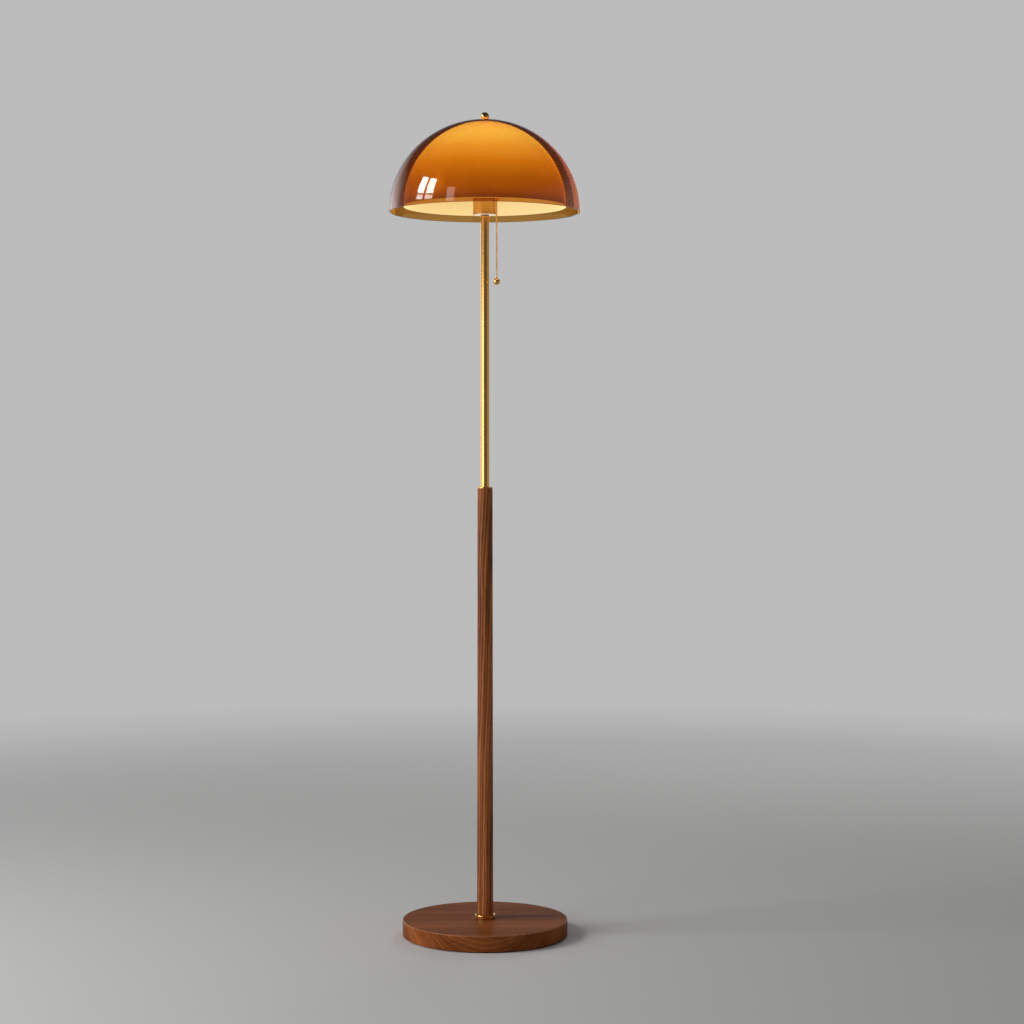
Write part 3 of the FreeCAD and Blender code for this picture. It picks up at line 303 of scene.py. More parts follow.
def metal_group():
    """Handled metal: a fine line texture round the axis, cloudy tarnish and small specks."""
    tree, inside, outside = group("metal_finish", [
        ("Vector", "vector", None),
        ("Bright", "color", (0.8, 0.6, 0.3, 1)),
        ("Tarnish", "color", (0.5, 0.3, 0.1, 1)),
        ("Base Roughness", "float", 0.2),
        ("Lines", "float", 0.1)],
        [("Color", "color"), ("Roughness", "float"), ("Height", "float")])
    source = inside.outputs
    cloud = node(tree, "ShaderNodeTexNoise", {
        "Vector": source["Vector"], "Scale": 38.0, "Detail": 4.0, "Roughness": 0.6}).outputs["Fac"]
    speck = node(tree, "ShaderNodeTexNoise", {
        "Vector": source["Vector"], "Scale": 900.0, "Detail": 2.0}).outputs["Fac"]
    fine_way = node(tree, "ShaderNodeMapping", {
        "Vector": source["Vector"], "Scale": (60.0, 60.0, 5200.0)}).outputs[0]
    lines = node(tree, "ShaderNodeTexNoise", {
        "Vector": fine_way, "Scale": 1.0, "Detail": 3.0, "Roughness": 0.7}).outputs["Fac"]
    worn = remap(tree, cloud, 0.5, 0.72, 0.0, 0.4)
    wire(tree, mixed(tree, worn, source["Bright"], source["Tarnish"]), outside.inputs["Color"])
    rough = maths(tree, "ADD", source["Base Roughness"],
                  maths(tree, "MULTIPLY", maths(tree, "SUBTRACT", cloud, 0.5), 0.06))
    rough = maths(tree, "ADD", rough, maths(
        tree, "MULTIPLY", maths(tree, "SUBTRACT", speck, 0.5), 0.03), clamp=True)
    wire(tree, rough, outside.inputs["Roughness"])
    wire(tree, maths(tree, "MULTIPLY", lines, source["Lines"]), outside.inputs["Height"])
    return tree


def moulded_group():
    """Moulded or glazed surfaces: a faint orange-peel, and a little dust in the colour."""
    tree, inside, outside = group("moulded_surface", [
        ("Vector", "vector", None),
        ("Color", "color", (0.5, 0.5, 0.5, 1)),
        ("Dust", "color", (0.6, 0.57, 0.5, 1)),
        ("Base Roughness", "float", 0.4),
        ("Grain", "float", 400.0)],
        [("Color", "color"), ("Roughness", "float"), ("Height", "float")])
    source = inside.outputs
    peel = node(tree, "ShaderNodeTexNoise", {
        "Vector": source["Vector"], "Detail": 3.0, "Scale": source["Grain"]})
    cloud = node(tree, "ShaderNodeTexNoise", {
        "Vector": source["Vector"], "Scale": 30.0, "Detail": 4.0}).outputs["Fac"]
    dusty = remap(tree, cloud, 0.5, 0.8, 0.0, 0.18)
    wire(tree, mixed(tree, dusty, source["Color"], source["Dust"]), outside.inputs["Color"])
    wire(tree, maths(tree, "ADD", source["Base Roughness"], maths(
        tree, "MULTIPLY", maths(tree, "SUBTRACT", cloud, 0.5), 0.2), clamp=True),
        outside.inputs["Roughness"])
    wire(tree, peel.outputs["Fac"], outside.inputs["Height"])
    return tree


# ------------------------------------------------------------------ materials

def blank(name):
    """A material with nothing but the Principled shader and the output."""
    material = bpy.data.materials.new(name)
    material.use_nodes = True
    tree = material.node_tree
    tree.nodes.clear()
    shader = tree.nodes.new("ShaderNodeBsdfPrincipled")
    output = tree.nodes.new("ShaderNodeOutputMaterial")
    wire(tree, shader.outputs[0], output.inputs["Surface"])
    return material, tree, shader, output


def object_place(tree, turn=(0, 0, 0), move=(0, 0, 0)):
    place = tree.nodes.new("ShaderNodeTexCoord").outputs["Object"]
    return node(tree, "ShaderNodeMapping", {
        "Vector": place, "Rotation": turn, "Location": move}).outputs[0]


def dressed(name, finish, place, values, bump, settings):
    """A material whose colour, roughness and bump come from a finish group."""
    material, tree, shader, _ = blank(name)
    vector = object_place(tree, *place)
    made = tree.nodes.new("ShaderNodeGroup")
    made.node_tree = finish
    wire(tree, vector, made.inputs["Vector"])
    for key, value in values.items():
        made.inputs[key].default_value = value
    wire(tree, made.outputs["Color"], shader.inputs["Base Color"])
    wire(tree, made.outputs["Roughness"], shader.inputs["Roughness"])
    strength, distance = bump
    lift = node(tree, "ShaderNodeBump", {
        "Height": made.outputs["Height"], "Strength": strength, "Distance": distance})
    wire(tree, lift.outputs[0], shader.inputs["Normal"])
    for key, value in settings.items():
        shader.inputs[key].default_value = value
    return material


def materials():
    """Every finish of the lamp, by name."""
    wood, metal, moulded = walnut_group(), metal_group(), moulded_group()
    upright = ((0, math.pi / 2, 0), (0, 0.022, 0.055))
    board = ((0, 0, 0), (0, -0.045, 0.115))
    lying = ((0, 0, 0), (0, 0, 0))
    made = {}
    made["walnut_column"] = dressed("walnut_column", wood, upright, {
        "Light": (0.660, 0.215, 0.065, 1), "Dark": (0.080, 0.020, 0.006, 1),
        "Rings": 230.0, "Bands": 60.0, "Waver": 0.022}, (0.2, 0.0002),
        {"Specular IOR Level": 0.12})
    made["walnut_foot"] = dressed("walnut_foot", wood, board, {
        "Light": (0.440, 0.136, 0.041, 1), "Dark": (0.205, 0.057, 0.015, 1),
        "Rings": 190.0, "Bands": 30.0, "Waver": 0.022}, (0.2, 0.0002),
        {"Specular IOR Level": 0.015})
    painted_edge_highlight(made["walnut_foot"])
    brass = {"Metallic": 1.0}
    made["polished_brass"] = dressed("polished_brass", metal, lying, {
        "Bright": (0.88, 0.48, 0.14, 1), "Tarnish": (0.80, 0.40, 0.10, 1),
        "Base Roughness": 0.17, "Lines": 0.08}, (0.02, 0.00002), brass)
    made["satin_brass"] = dressed("satin_brass", metal, lying, {
        "Bright": (0.62, 0.33, 0.10, 1), "Tarnish": (0.48, 0.24, 0.06, 1),
        "Base Roughness": 0.25, "Lines": 0.3}, (0.08, 0.00005), brass)
    made["dark_bronze"] = dressed("dark_bronze", metal, lying, {
        "Bright": (0.055, 0.035, 0.02, 1), "Tarnish": (0.03, 0.02, 0.012, 1),
        "Base Roughness": 0.42, "Lines": 0.2}, (0.1, 0.00005), {"Metallic": 0.8})
    made["zinc_steel"] = dressed("zinc_steel", metal, lying, {
        "Bright": (0.62, 0.63, 0.65, 1), "Tarnish": (0.42, 0.42, 0.40, 1),
        "Base Roughness": 0.34, "Lines": 0.4}, (0.15, 0.00006), brass)
    made["nickel"] = dressed("nickel", metal, lying, {
        "Bright": (0.72, 0.70, 0.66, 1), "Tarnish": (0.5, 0.47, 0.4, 1),
        "Base Roughness": 0.2, "Lines": 0.3}, (0.12, 0.00005), brass)
    made["iron"] = dressed("iron", moulded, lying, {
        "Color": (0.035, 0.035, 0.037, 1), "Dust": (0.09, 0.07, 0.05, 1),
        "Base Roughness": 0.62, "Grain": 260.0}, (0.5, 0.0006), {"Metallic": 0.3})
    made["black_plastic"] = dressed("black_plastic", moulded, lying, {
        "Color": (0.018, 0.018, 0.018, 1), "Dust": (0.06, 0.055, 0.05, 1),
        "Base Roughness": 0.45, "Grain": 700.0}, (0.2, 0.0001), {})
    made["lead_sheath"] = dressed("lead_sheath", moulded, lying, {
        "Color": (0.03, 0.026, 0.022, 1), "Dust": (0.08, 0.07, 0.06, 1),
        "Base Roughness": 0.5, "Grain": 500.0}, (0.2, 0.0001), {})
    # The emission is painted light: a faint warm glow for light on the cup's white floor, on every
    # white plastic node.
    made["white_plastic"] = dressed("white_plastic", moulded, lying, {
        "Color": (0.86, 0.82, 0.74, 1), "Dust": (0.7, 0.65, 0.55, 1),
        "Base Roughness": 0.35, "Grain": 600.0}, (0.1, 0.0001),
        {"Emission Color": (0.85, 0.74, 0.50, 1), "Emission Strength": 0.55})
    made["porcelain"] = dressed("porcelain", moulded, lying, {
        "Color": (0.80, 0.78, 0.73, 1), "Dust": (0.6, 0.56, 0.48, 1),
        "Base Roughness": 0.16, "Grain": 120.0}, (0.05, 0.0002), {"Coat Weight": 0.6})
    made["felt"] = felt()
    made["amber"] = amber()
    made["opal_outside"], made["opal_inside"] = opal(True), opal(False)
    made["bulb_opal"] = lit_bulb()
    return made


def painted_edge_highlight(material):
    """The foot's upper edge: a painted highlight of paler colour along it, and a glossier coat
    there.
    """
    tree = material.node_tree
    shader = tree.nodes["Principled BSDF"]
    radius, _, top = size_of("foot_disc")
    place = node(tree, "ShaderNodeSeparateXYZ", {
        0: tree.nodes.new("ShaderNodeTexCoord").outputs["Object"]}).outputs
    flat = node(tree, "ShaderNodeCombineXYZ", {"X": place["X"], "Y": place["Y"]}).outputs[0]
    away = node(tree, "ShaderNodeVectorMath", {0: flat}, operation="LENGTH").outputs["Value"]
    near_rim = remap(tree, away, radius - 2.0 * MM, radius - 1.2 * MM)
    near_top = remap(tree, place["Z"], top - 2.0 * MM, top - 1.2 * MM)
    edge = maths(tree, "MULTIPLY", near_rim, near_top)
    color = shader.inputs["Base Color"].links[0].from_socket
    # The paler colour mixed in along the edge is a painted highlight.
    highlighted_color = mixed(tree, maths(tree, "MULTIPLY", edge, 0.3), color, (0.62, 0.30, 0.16, 1))
    wire(tree, highlighted_color, shader.inputs["Base Color"])
    wire(tree, maths(tree, "MULTIPLY", edge, 0.35), shader.inputs["Coat Weight"])
    shader.inputs["Coat Roughness"].default_value = 0.25


def felt():
    """Pressed wool: short matted fibres in the colour and the bump."""
    material, tree, shader, _ = blank("felt")
    place = object_place(tree)
    fibre = node(tree, "ShaderNodeTexNoise", {
        "Vector": place, "Scale": 900.0, "Detail": 6.0, "Roughness": 0.75}).outputs["Fac"]
    cloud = node(tree, "ShaderNodeTexNoise", {
        "Vector": place, "Scale": 60.0, "Detail": 3.0}).outputs["Fac"]
    tone = maths(tree, "ADD", maths(tree, "MULTIPLY", fibre, 0.7),
                 maths(tree, "MULTIPLY", cloud, 0.3))
    wire(tree, ramp(tree, tone, [(0.35, (0.012, 0.011, 0.010)), (0.65, (0.045, 0.042, 0.038))]),
         shader.inputs["Base Color"])
    lift = node(tree, "ShaderNodeBump", {"Height": fibre, "Strength": 0.8, "Distance": 0.0006})
    wire(tree, lift.outputs[0], shader.inputs["Normal"])
    shader.inputs["Roughness"].default_value = 0.95
    shader.inputs["Sheen Weight"].default_value = 0.4
    shader.inputs["Sheen Roughness"].default_value = 0.6
    return material


AMBER_CLEAR = (0.8105, 0.5694, 0.0214)
AMBER_DENSITY = 1150.0


def amber():
    """Clear amber plastic: the tint grows with the way through the wall, and the face is
    glossy with a breath of wear in its roughness."""
    material, tree, shader, output = blank("amber")
    place = object_place(tree)
    cloud = node(tree, "ShaderNodeTexNoise", {
        "Vector": place, "Scale": 12.0, "Detail": 5.0, "Roughness": 0.6}).outputs["Fac"]
    wire(tree, remap(tree, cloud, 0.45, 0.75, 0.0, 0.02), shader.inputs["Roughness"])
    shader.inputs["Base Color"].default_value = (1.0, 1.0, 1.0, 1)
    shader.inputs["Transmission Weight"].default_value = 1.0
    shader.inputs["IOR"].default_value = 1.49
    depth = tree.nodes.new("ShaderNodeVolumeAbsorption")
    depth.inputs["Color"].default_value = (*AMBER_CLEAR, 1)
    depth.inputs["Density"].default_value = AMBER_DENSITY
    wire(tree, depth.outputs[0], output.inputs["Volume"])
    return material


def opal(outside):
    """Opal plastic that looks lit: the glow is the material's own, not the bulb's light. It
    falls from the crown to the rim outside, and is pale and warm inside."""
    material, tree, shader, _ = blank("opal_outside" if outside else "opal_inside")
    low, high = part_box("opal_diffuser")
    place = tree.nodes.new("ShaderNodeTexCoord").outputs["Object"]
    level = node(tree, "ShaderNodeSeparateXYZ", {0: place}).outputs["Z"]
    share = remap(tree, level, low.z, high.z)
    milk = node(tree, "ShaderNodeTexNoise", {
        "Vector": place, "Scale": 18.0, "Detail": 3.0, "Roughness": 0.5}).outputs["Fac"]
    share = maths(tree, "ADD", share, maths(tree, "MULTIPLY",
                                            maths(tree, "SUBTRACT", milk, 0.5), 0.05), clamp=True)
    if outside:
        stops = [(0.0, (0.065, 0.013, 0.0)), (0.12, (0.163, 0.063, 0.003)),
                 (0.25, (0.213, 0.096, 0.006)), (0.44, (0.35, 0.20, 0.016)),
                 (0.62, (0.494, 0.40, 0.14)), (0.80, (0.664, 0.767, 0.52)),
                 (1.0, (1.0, 1.0, 0.95))]
    else:
        stops = [(0.0, (0.25, 0.184, 0.078)), (0.25, (0.209, 0.141, 0.048)),
                 (1.0, (0.1875, 0.125, 0.042))]
    glow = ramp(tree, share, stops)
    wire(tree, glow, shader.inputs["Emission Color"])
    shader.inputs["Emission Strength"].default_value = 3.2
    tint = ramp(tree, share, [(0.0, (0.26, 0.21, 0.15)), (1.0, (0.32, 0.27, 0.20))])
    wire(tree, tint, shader.inputs["Base Color"])
    wire(tree, remap(tree, milk, 0.3, 0.7, 0.22, 0.34), shader.inputs["Roughness"])
    lift = node(tree, "ShaderNodeBump", {"Height": milk, "Strength": 0.03, "Distance": 0.0005})
    wire(tree, lift.outputs[0], shader.inputs["Normal"])
    return material


def lit_bulb():
    """A frosted bulb that is on: brighter in its middle than at its neck."""
    material, tree, shader, _ = blank("bulb_opal")
    low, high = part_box("bulb_glass")
    place = tree.nodes.new("ShaderNodeTexCoord").outputs["Object"]
    level = node(tree, "ShaderNodeSeparateXYZ", {0: place}).outputs["Z"]
    share = remap(tree, level, low.z, high.z)
    frost = node(tree, "ShaderNodeTexNoise", {
        "Vector": place, "Scale": 120.0, "Detail": 2.0}).outputs["Fac"]
    glow = ramp(tree, share, [(0.0, (0.9, 0.62, 0.3)), (0.35, (1.0, 0.86, 0.6)),
                              (1.0, (1.0, 0.9, 0.68))])
    wire(tree, glow, shader.inputs["Emission Color"])
    shader.inputs["Emission Strength"].default_value = 2.0
    wire(tree, ramp(tree, frost, [(0.0, (0.82, 0.80, 0.75)), (1.0, (0.9, 0.88, 0.84))]),
         shader.inputs["Base Color"])
    wire(tree, remap(tree, frost, 0.2, 0.8, 0.3, 0.45), shader.inputs["Roughness"])
    return material


# ------------------------------------------------------------------ the lamp's pieces

def size_of(name):
    """A node's outer radius about the lamp's axis, its bottom and its top."""
    low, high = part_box(name)
    return max(abs(low.x), abs(high.x)), low.z, high.z


def foot(finish):
    """The foot, a disc with a rounded upper edge, open below for its iron weight."""
    radius, bottom, top = size_of("foot_disc")
    weight_radius, _, weight_top = size_of("foot_weight")
    pocket = weight_radius + 0.5 * MM
    outline = rounded([
        (ROD_BORE, top, 0.15 * MM),
        (ROD_BORE, weight_top, 0.15 * MM),
        (pocket, weight_top, 0.3 * MM),
        (pocket, bottom, 0.4 * MM),
        (radius, bottom, 1.0 * MM),
        (radius, top, 1.6 * MM),
    ], 6)
    turned("foot", outline, finish["walnut_foot"], "lamp", ["foot_disc"], turns=192)
    pad_radius, pad_bottom, pad_top = size_of("felt_pad")
    outline = chained(
        (np.array([[0.0, pad_bottom]]), np.array([[0.0, -1.0]])),
        arc((pad_radius - 0.5 * MM, pad_bottom + 0.5 * MM), 0.5 * MM, -90, 0, 4),
        arc((pad_radius - 0.5 * MM, pad_top - 0.5 * MM), 0.5 * MM, 0, 90, 4),
        (np.array([[0.0, pad_top]]), np.array([[0.0, 1.0]])),
    )
    turned("felt", outline, finish["felt"], "lamp", ["felt_pad"], closed=False)


def collar(finish):
    """The stepped brass collar that holds the column's foot, with a groove round it."""
    radius, bottom, top = size_of("foot_collar")
    inside = size_of("wood_column")[0] + 0.05 * MM
    seat, dish = bottom + 4.0 * MM, 2.0 * MM
    foot_edge, tier, groove = radius - 2.1 * MM, radius - 0.9 * MM, radius - 1.2 * MM
    outline = rounded([
        (inside, top - dish, 0.15 * MM),
        (inside, seat, 0.1 * MM),
        (ROD_BORE, seat, 0.1 * MM),
        (ROD_BORE, bottom, 0.1 * MM),
        (foot_edge, bottom, 0.15 * MM),
        (foot_edge, bottom + 0.8 * MM, 0.15 * MM),
        (tier, bottom + 1.4 * MM, 0.25 * MM),
        (tier, bottom + 4.0 * MM, 0.08 * MM),
        (groove, bottom + 4.2 * MM, 0.08 * MM),
        (groove, bottom + 4.8 * MM, 0.1 * MM),
        (radius, bottom + 5.4 * MM, 0.6 * MM),
        (radius, top, 1.6 * MM),
        (radius - dish, top, 0.3 * MM),
    ], 4)
    turned("collar", outline, finish["polished_brass"], "lamp", ["foot_collar"],
           turns=160)


def column(finish):
    """The tapering wooden column and the thin brass cap on it."""
    foot_radius, bottom, top = size_of("wood_column")
    head_radius, cap_bottom, cap_top = size_of("column_cap")
    outline = rounded([
        (ROD_BORE, top, 0.1 * MM),
        (ROD_BORE, bottom, 0.1 * MM),
        (foot_radius, bottom, 0.3 * MM),
        (foot_radius, bottom + 6 * MM, 4 * MM),
        (head_radius, top, 0.5 * MM),
    ], 4)
    turned("column", outline, finish["walnut_column"], "lamp", ["wood_column"])
    outline = rounded([
        (ROD_BORE, cap_top, 0.1 * MM),
        (ROD_BORE, cap_bottom, 0.1 * MM),
        (head_radius, cap_bottom, 0.3 * MM),
        (head_radius, cap_top, 0.6 * MM),
    ], 5)
    turned("cap", outline, finish["polished_brass"], "lamp", ["column_cap"])


def tube(finish):
    """The brass tube up to the cup."""
    radius, bottom, top = size_of("upper_tube")
    outline = rounded([
        (radius - 1.2 * MM, top, 0.2 * MM),
        (radius - 1.2 * MM, bottom, 0.2 * MM),
        (radius, bottom, 0.35 * MM),
        (radius, top, 0.35 * MM),
    ], 4)
    turned("tube", outline, finish["polished_brass"], "lamp", ["upper_tube"])
    radius, bottom, top = size_of("neck_spacer")
    outline = rounded([
        (ROD_BORE, top, 0.1 * MM),
        (ROD_BORE, bottom, 0.1 * MM),
        (radius, bottom, 0.4 * MM),
        (radius, top, 0.4 * MM),
    ], 4)
    turned("neck", outline, finish["dark_bronze"], "lamp", ["neck_spacer"])


def cup_floor(finish):
    """The white disc that closes the cup from below; a faint glow painted into its material stands
    in for light falling on it.
    """
    radius, bottom, top = size_of("cup_plate")
    outline = rounded([
        (ROD_BORE, top, 0.1 * MM),
        (ROD_BORE, bottom, 0.3 * MM),
        (radius, bottom, 0.4 * MM),
        (radius, top, 0.2 * MM),
    ], 4)
    turned("cup_floor", outline, finish["white_plastic"], "lamp", ["cup_plate"])


def ball(name, node_name, finish, body):
    """A full ball about the middle of a node that is nearly a ball."""
    low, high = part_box(node_name)
    radius = (high.x - low.x) / 2
    centre = (low + high) / 2
    points, normals = arc((0, low.z + radius), radius, -90, 90, 64)
    points[[0, -1], 0] = 0
    turned(name, (points, normals), finish["polished_brass"], body,
           [node_name], closed=False, turns=96, place=(centre.x, centre.y))


def finial(finish):
    """The ball that screws down on the domes: a ball, flat where it sits."""
    radius, bottom, top = size_of("finial")
    start = math.degrees(math.asin((bottom - (top - radius)) / radius))
    bore = 3.05 * MM
    level = top - radius
    curve = arc((0, level), radius, start + 1.5, 90, 56)
    seat = bottom
    edge = radius * math.cos(math.radians(start))
    below = (np.array([[0.0, seat + 4 * MM], [bore, seat + 4 * MM], [bore, seat + 4 * MM],
                       [bore, seat], [bore, seat], [edge - 0.15 * MM, seat]]),
             np.array([[0, -1.0], [0, -1.0], [-1.0, 0], [-1.0, 0], [0, -1.0], [0, -1.0]]))
    points, normals = chained(below, curve)
    points[-1, 0] = 0
    turned("finial_ball", (points, normals), finish["polished_brass"], "finial",
           ["finial"], closed=False, turns=96)


def dome_outline(radius, height, wall, bore, steps=96, lip=10):
    """Half an ellipse outside and inside, r = a cos u and z = b sin u, joined over the bore
    by a straight edge and round the rim by half a circle as wide as the wall."""
    def ellipse(a, b, start, end, sign):
        u = np.linspace(start, end, steps + 1)
        points = np.stack([a * np.cos(u), b * np.sin(u)], axis=1)
        normals = np.stack([b * np.cos(u), a * np.sin(u)], axis=1) * sign
        return points, normals / np.linalg.norm(normals, axis=1)[:, None]

    half = wall / 2
    rim_level = math.asin(half / height)
    outer = ellipse(radius, height, rim_level, math.acos(bore / radius), 1)
    inner = ellipse(radius - wall, height - wall, math.acos(bore / (radius - wall)),
                    rim_level, -1)
    rim = arc((radius - half, half), half, 180, 360, lip)
    edge = (np.stack([outer[0][-1], inner[0][0]]), np.array([[-1.0, 0.0], [-1.0, 0.0]]))
    return chained(outer, edge, inner, (rim[0][1:-1], rim[1][1:-1])), len(outer[0])


def domes(finish):
    """The clear amber dome over the opal one."""
    radius, bottom, top = size_of("amber_shade")
    (points, normals), _ = dome_outline(radius, top - bottom, DOME_WALL, DOME_BORE)
    points = points + np.array([0, bottom])
    turned("amber_dome", (points, normals), finish["amber"], "lamp",
           ["amber_shade"], turns=DOME_TURNS)
    radius, bottom, top = size_of("opal_diffuser")
    (points, normals), outer = dome_outline(radius, top - bottom, DOME_WALL, DOME_BORE)
    points = points + np.array([0, bottom])
    piece = turned("opal_dome", (points, normals), [finish["opal_outside"], finish["opal_inside"]],
                   "lamp", ["opal_diffuser"], turns=DOME_TURNS)
    side = np.zeros(len(piece.data.polygons), np.int32)
    side[outer * DOME_TURNS:] = 1
    piece.data.polygons.foreach_set("material_index", side)


def bulb(finish):
    """The frosted bulb: a neck that flares into a globe.

    The flare is a cubic Bezier curve, upright at the neck and along the globe where they meet."""
    radius, bottom, top = size_of("bulb_glass")
    centre = top - radius
    neck = size_of("bulb_cap")[0] - 1 * MM
    share = np.linspace(0, 1, 24)[:-1]
    touch = -34.0
    end = np.array([radius * math.cos(math.radians(touch)),
                    centre + radius * math.sin(math.radians(touch))])
    start = np.array([neck, bottom])
    tangent = np.array([-math.sin(math.radians(touch)), math.cos(math.radians(touch))])
    pull = 0.45 * np.linalg.norm(end - start)
    first, second = start + np.array([0, pull]), end - tangent * pull
    s = share[:, None]
    flare = ((1 - s) ** 3 * start + 3 * (1 - s) ** 2 * s * first
             + 3 * (1 - s) * s ** 2 * second + s ** 3 * end)
    way = np.gradient(flare, axis=0)
    lean = np.stack([way[:, 1], -way[:, 0]], axis=1)
    lean /= np.linalg.norm(lean, axis=1)[:, None]
    globe = arc((0, centre), radius, touch, 90, 40)
    floor_points = (np.array([[0.0, bottom], [neck, bottom]]), np.array([[0, -1.0], [0, -1.0]]))
    points, normals = chained(floor_points, (flare, lean), globe)
    points[-1, 0] = 0
    turned("bulb", (points, normals), finish["bulb_opal"], "bulb", ["bulb_glass"],
           closed=False, turns=96)


def pull_chain(finish):
    """The pull chain, of links too fine to tell apart: a thin round cord with a rib for each.

    At the way s along it the radius is R (1 - 0.1 (1 - cos(2 pi s / pitch)))."""
    low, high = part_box("pull_chain")
    radius = (high.x - low.x) / 2
    middle = (low + high) / 2
    length = high.z - low.z
    ribs = round(length / CHAIN_PITCH)
    s = np.linspace(0, length, ribs * 8 + 1)
    size = radius * (1 - 0.1 * (1 - np.cos(2 * np.pi * s * ribs / length)))
    points = np.concatenate([[[0, low.z]], np.stack([size, low.z + s], axis=1), [[0, high.z]]])
    slope = np.gradient(points, axis=0)
    normals = np.stack([slope[:, 1], -slope[:, 0]], axis=1)
    normals /= np.maximum(np.linalg.norm(normals, axis=1), 1e-12)[:, None]
    piece = turned("bead_chain", (points, normals), finish["polished_brass"], "pull",
                   ["pull_chain"], closed=False, turns=16,
                   place=(middle.x, middle.y))
    ball("pull_knob", "pull_ball", finish, "pull")


SLOT_FINISH = {
    "walnut": "walnut_column",
    "amber_glass": "amber",
    "opal_acrylic": "opal_outside",
}


def dress_nodes(finish):
    """Every CAD node that stays takes the finish of its slot."""
    slots = {row["node"]: row["material_slot"] for row in frame["record"]["subparts"]}
    for name, thing in frame["nodes"].items():
        slot = slots[name]
        material = finish[SLOT_FINISH.get(slot, slot)]
        if not thing.material_slots:
            thing.data.materials.append(material)
        for place in thing.material_slots:
            place.material = material


# ------------------------------------------------------------------ floor and light

PALE = 0.50


def floor_material():
    """A pale floor that fades out with the distance from the lamp, into the pale background."""
    material, tree, shader, _ = blank("pale_floor")
    place = tree.nodes.new("ShaderNodeTexCoord").outputs["Object"]
    away = node(tree, "ShaderNodeVectorMath", {0: place}, operation="LENGTH").outputs["Value"]
    fade = node(tree, "ShaderNodeMapRange", {
        "Value": away, "From Min": 0.9, "From Max": 4.0, "To Min": 1.0, "To Max": 0.0},
        interpolation_type="SMOOTHSTEP").outputs["Result"]
    wire(tree, fade, shader.inputs["Alpha"])
    shader.inputs["Base Color"].default_value = (0.84, 0.84, 0.83, 1)
    shader.inputs["Roughness"].default_value = 0.95
    shader.inputs["Specular IOR Level"].default_value = 0.1
    return material


def floor():
    """A round floor: rings of points (r cos a, r sin a, 0) about the lamp's axis."""
    radius = np.array([0.0, 0.4, 1.0, 2.0, 4.0, 8.0])
    points = np.stack([radius, np.zeros_like(radius)], axis=1)[::-1]
    grid, faces, _ = revolve(points, np.tile([0.0, 1.0], (len(radius), 1)), False, 96)
    data = bpy.data.meshes.new("floor")
    data.from_pydata(grid.tolist(), [], faces)
    data.materials.append(floor_material())
    thing = bpy.data.objects.new("floor", data)
    bpy.context.scene.collection.objects.link(thing)


def soft_box(name, azimuth, low, high, distance, width, radiance, color=(1, 1, 1), shine=True,
             light=True):
    """A rectangular lamp that faces the object, from level low to level high.

    Its azimuth counts from the front to the right, in degrees, and its power is
    pi * area * radiance."""
    turn = math.radians(azimuth)
    place = Vector((distance * math.sin(turn), -distance * math.cos(turn), (low + high) / 2))
    data = bpy.data.lights.new(name, "AREA")
    data.shape = "RECTANGLE"
    data.size, data.size_y = width, high - low
    data.energy = math.pi * width * (high - low) * radiance
    data.color = color
    lamp = bpy.data.objects.new(name, data)
    lamp.location = place
    level_aim = Vector((0, 0, place.z))
    lamp.rotation_euler = (level_aim - place).to_track_quat("-Z", "Y").to_euler()
    lamp.visible_camera = False
    lamp.visible_glossy = shine
    lamp.visible_diffuse = light
    bpy.context.scene.collection.objects.link(lamp)


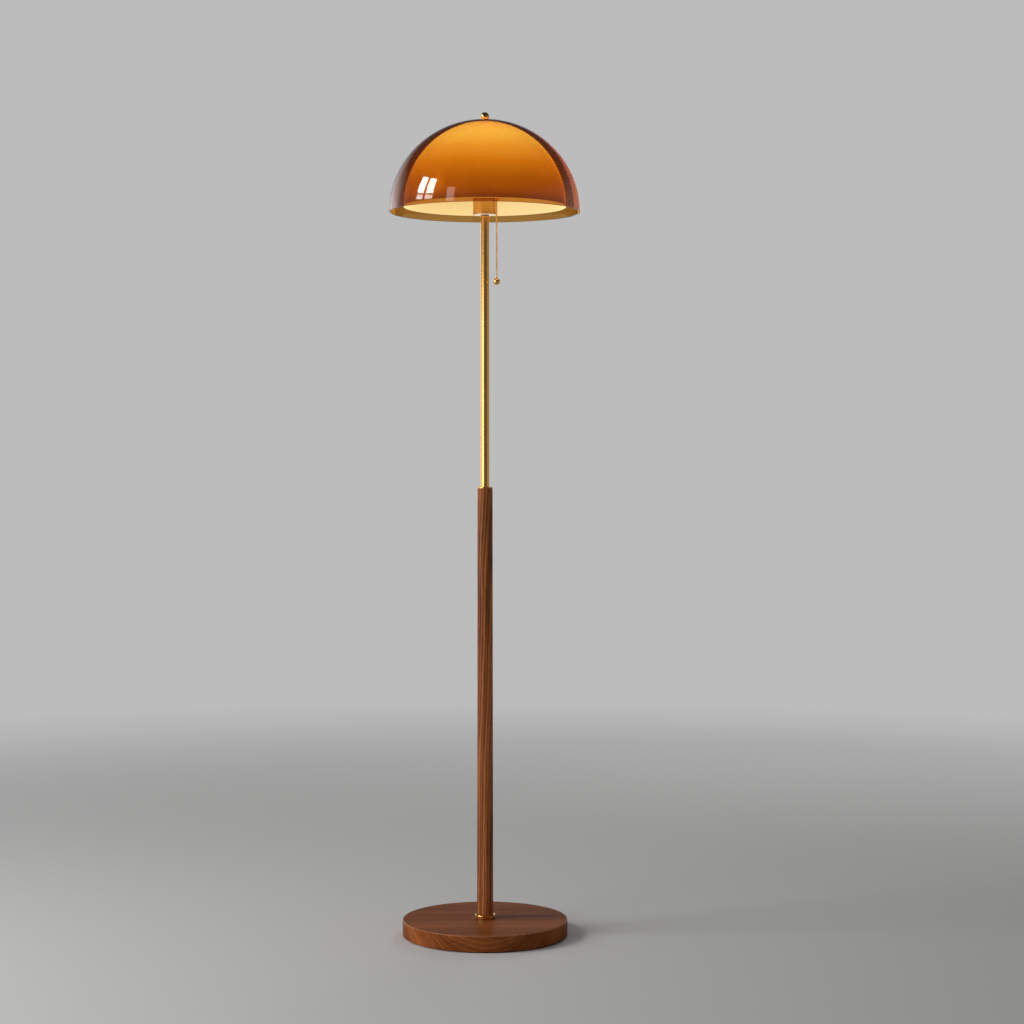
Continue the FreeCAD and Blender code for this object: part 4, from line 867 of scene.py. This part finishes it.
def studio():
    """A window of four panes and a low panel on the left, and a weak lamp behind.

    The panes only show in what is glossy, and one plain lamp in their place gives the light."""
    for side, azimuth in (("left", -83.3), ("right", -69.5)):
        soft_box(f"pane_upper_{side}", azimuth, 2.22, 3.18, 2.95, 0.54, 20.0, (0.52, 0.94, 1),
                 light=False)
        soft_box(f"pane_lower_{side}", azimuth, 1.90, 2.13, 2.95, 0.54, 10.5, (0.70, 0.95, 1),
                 light=False)
    soft_box("window_light", -76.4, 1.90, 3.18, 2.95, 1.2, 10.0, shine=False)
    soft_box("side_window", -41.0, 1.75, 2.65, 2.95, 0.5, 3.0)
    soft_box("low_panel", -64.0, 0.25, 1.40, 2.5, 3.1, 2.2)
    soft_box("back_lamp", 160.0, 1.2, 2.6, 3.0, 1.2, 3.0, shine=False)


def surroundings():
    """A pale background, with darker and paler sides round the room for metal to reflect."""
    world = bpy.data.worlds.new("studio")
    bpy.context.scene.world = world
    world.use_nodes = True
    tree = world.node_tree
    tree.nodes.clear()
    path = tree.nodes.new("ShaderNodeLightPath").outputs
    way = tree.nodes.new("ShaderNodeTexCoord").outputs["Generated"]
    side = node(tree, "ShaderNodeSeparateXYZ", {0: way}).outputs
    azimuth = maths(tree, "ARCTAN2", side["X"], maths(tree, "MULTIPLY", side["Y"], -1.0))
    share = remap(tree, azimuth, -math.pi, math.pi)
    half = [(0.00, 0.25), (0.04, 0.30), (0.07, 0.80), (0.13, 0.80), (0.16, 0.20), (0.26, 0.10),
            (0.42, 0.11), (0.47, 0.065), (0.62, 0.055), (0.68, 0.20), (0.76, 0.16), (0.94, 0.22),
            (0.96, 0.45), (0.985, 0.45), (1.00, 0.25)]
    room = maths(tree, "MULTIPLY", ramp(tree, share, [(at, (v,) * 3) for at, v in half]), 2.0)
    room = mixed(tree, remap(tree, side["Z"], 0.12, 0.45), room, (0.05, 0.05, 0.05, 1))
    soft = mixed(tree, path["Is Glossy Ray"], (0.11, 0.11, 0.11, 1), room)
    seen = maths(tree, "ADD", path["Is Camera Ray"], path["Is Transmission Ray"], clamp=True)
    color = mixed(tree, seen, soft, (PALE, PALE, PALE, 1))
    back = node(tree, "ShaderNodeBackground", {"Color": color, "Strength": 1.0})
    output = tree.nodes.new("ShaderNodeOutputWorld")
    wire(tree, back.outputs[0], output.inputs["Surface"])


# ------------------------------------------------------------------ making it

camera()
finish = materials()
dress_nodes(finish)
pull_chain(finish)
foot(finish)
collar(finish)
column(finish)
tube(finish)
cup_floor(finish)
bulb(finish)
domes(finish)
finial(finish)
floor()
studio()
surroundings()
bpy.context.scene.view_settings.view_transform = "Standard"
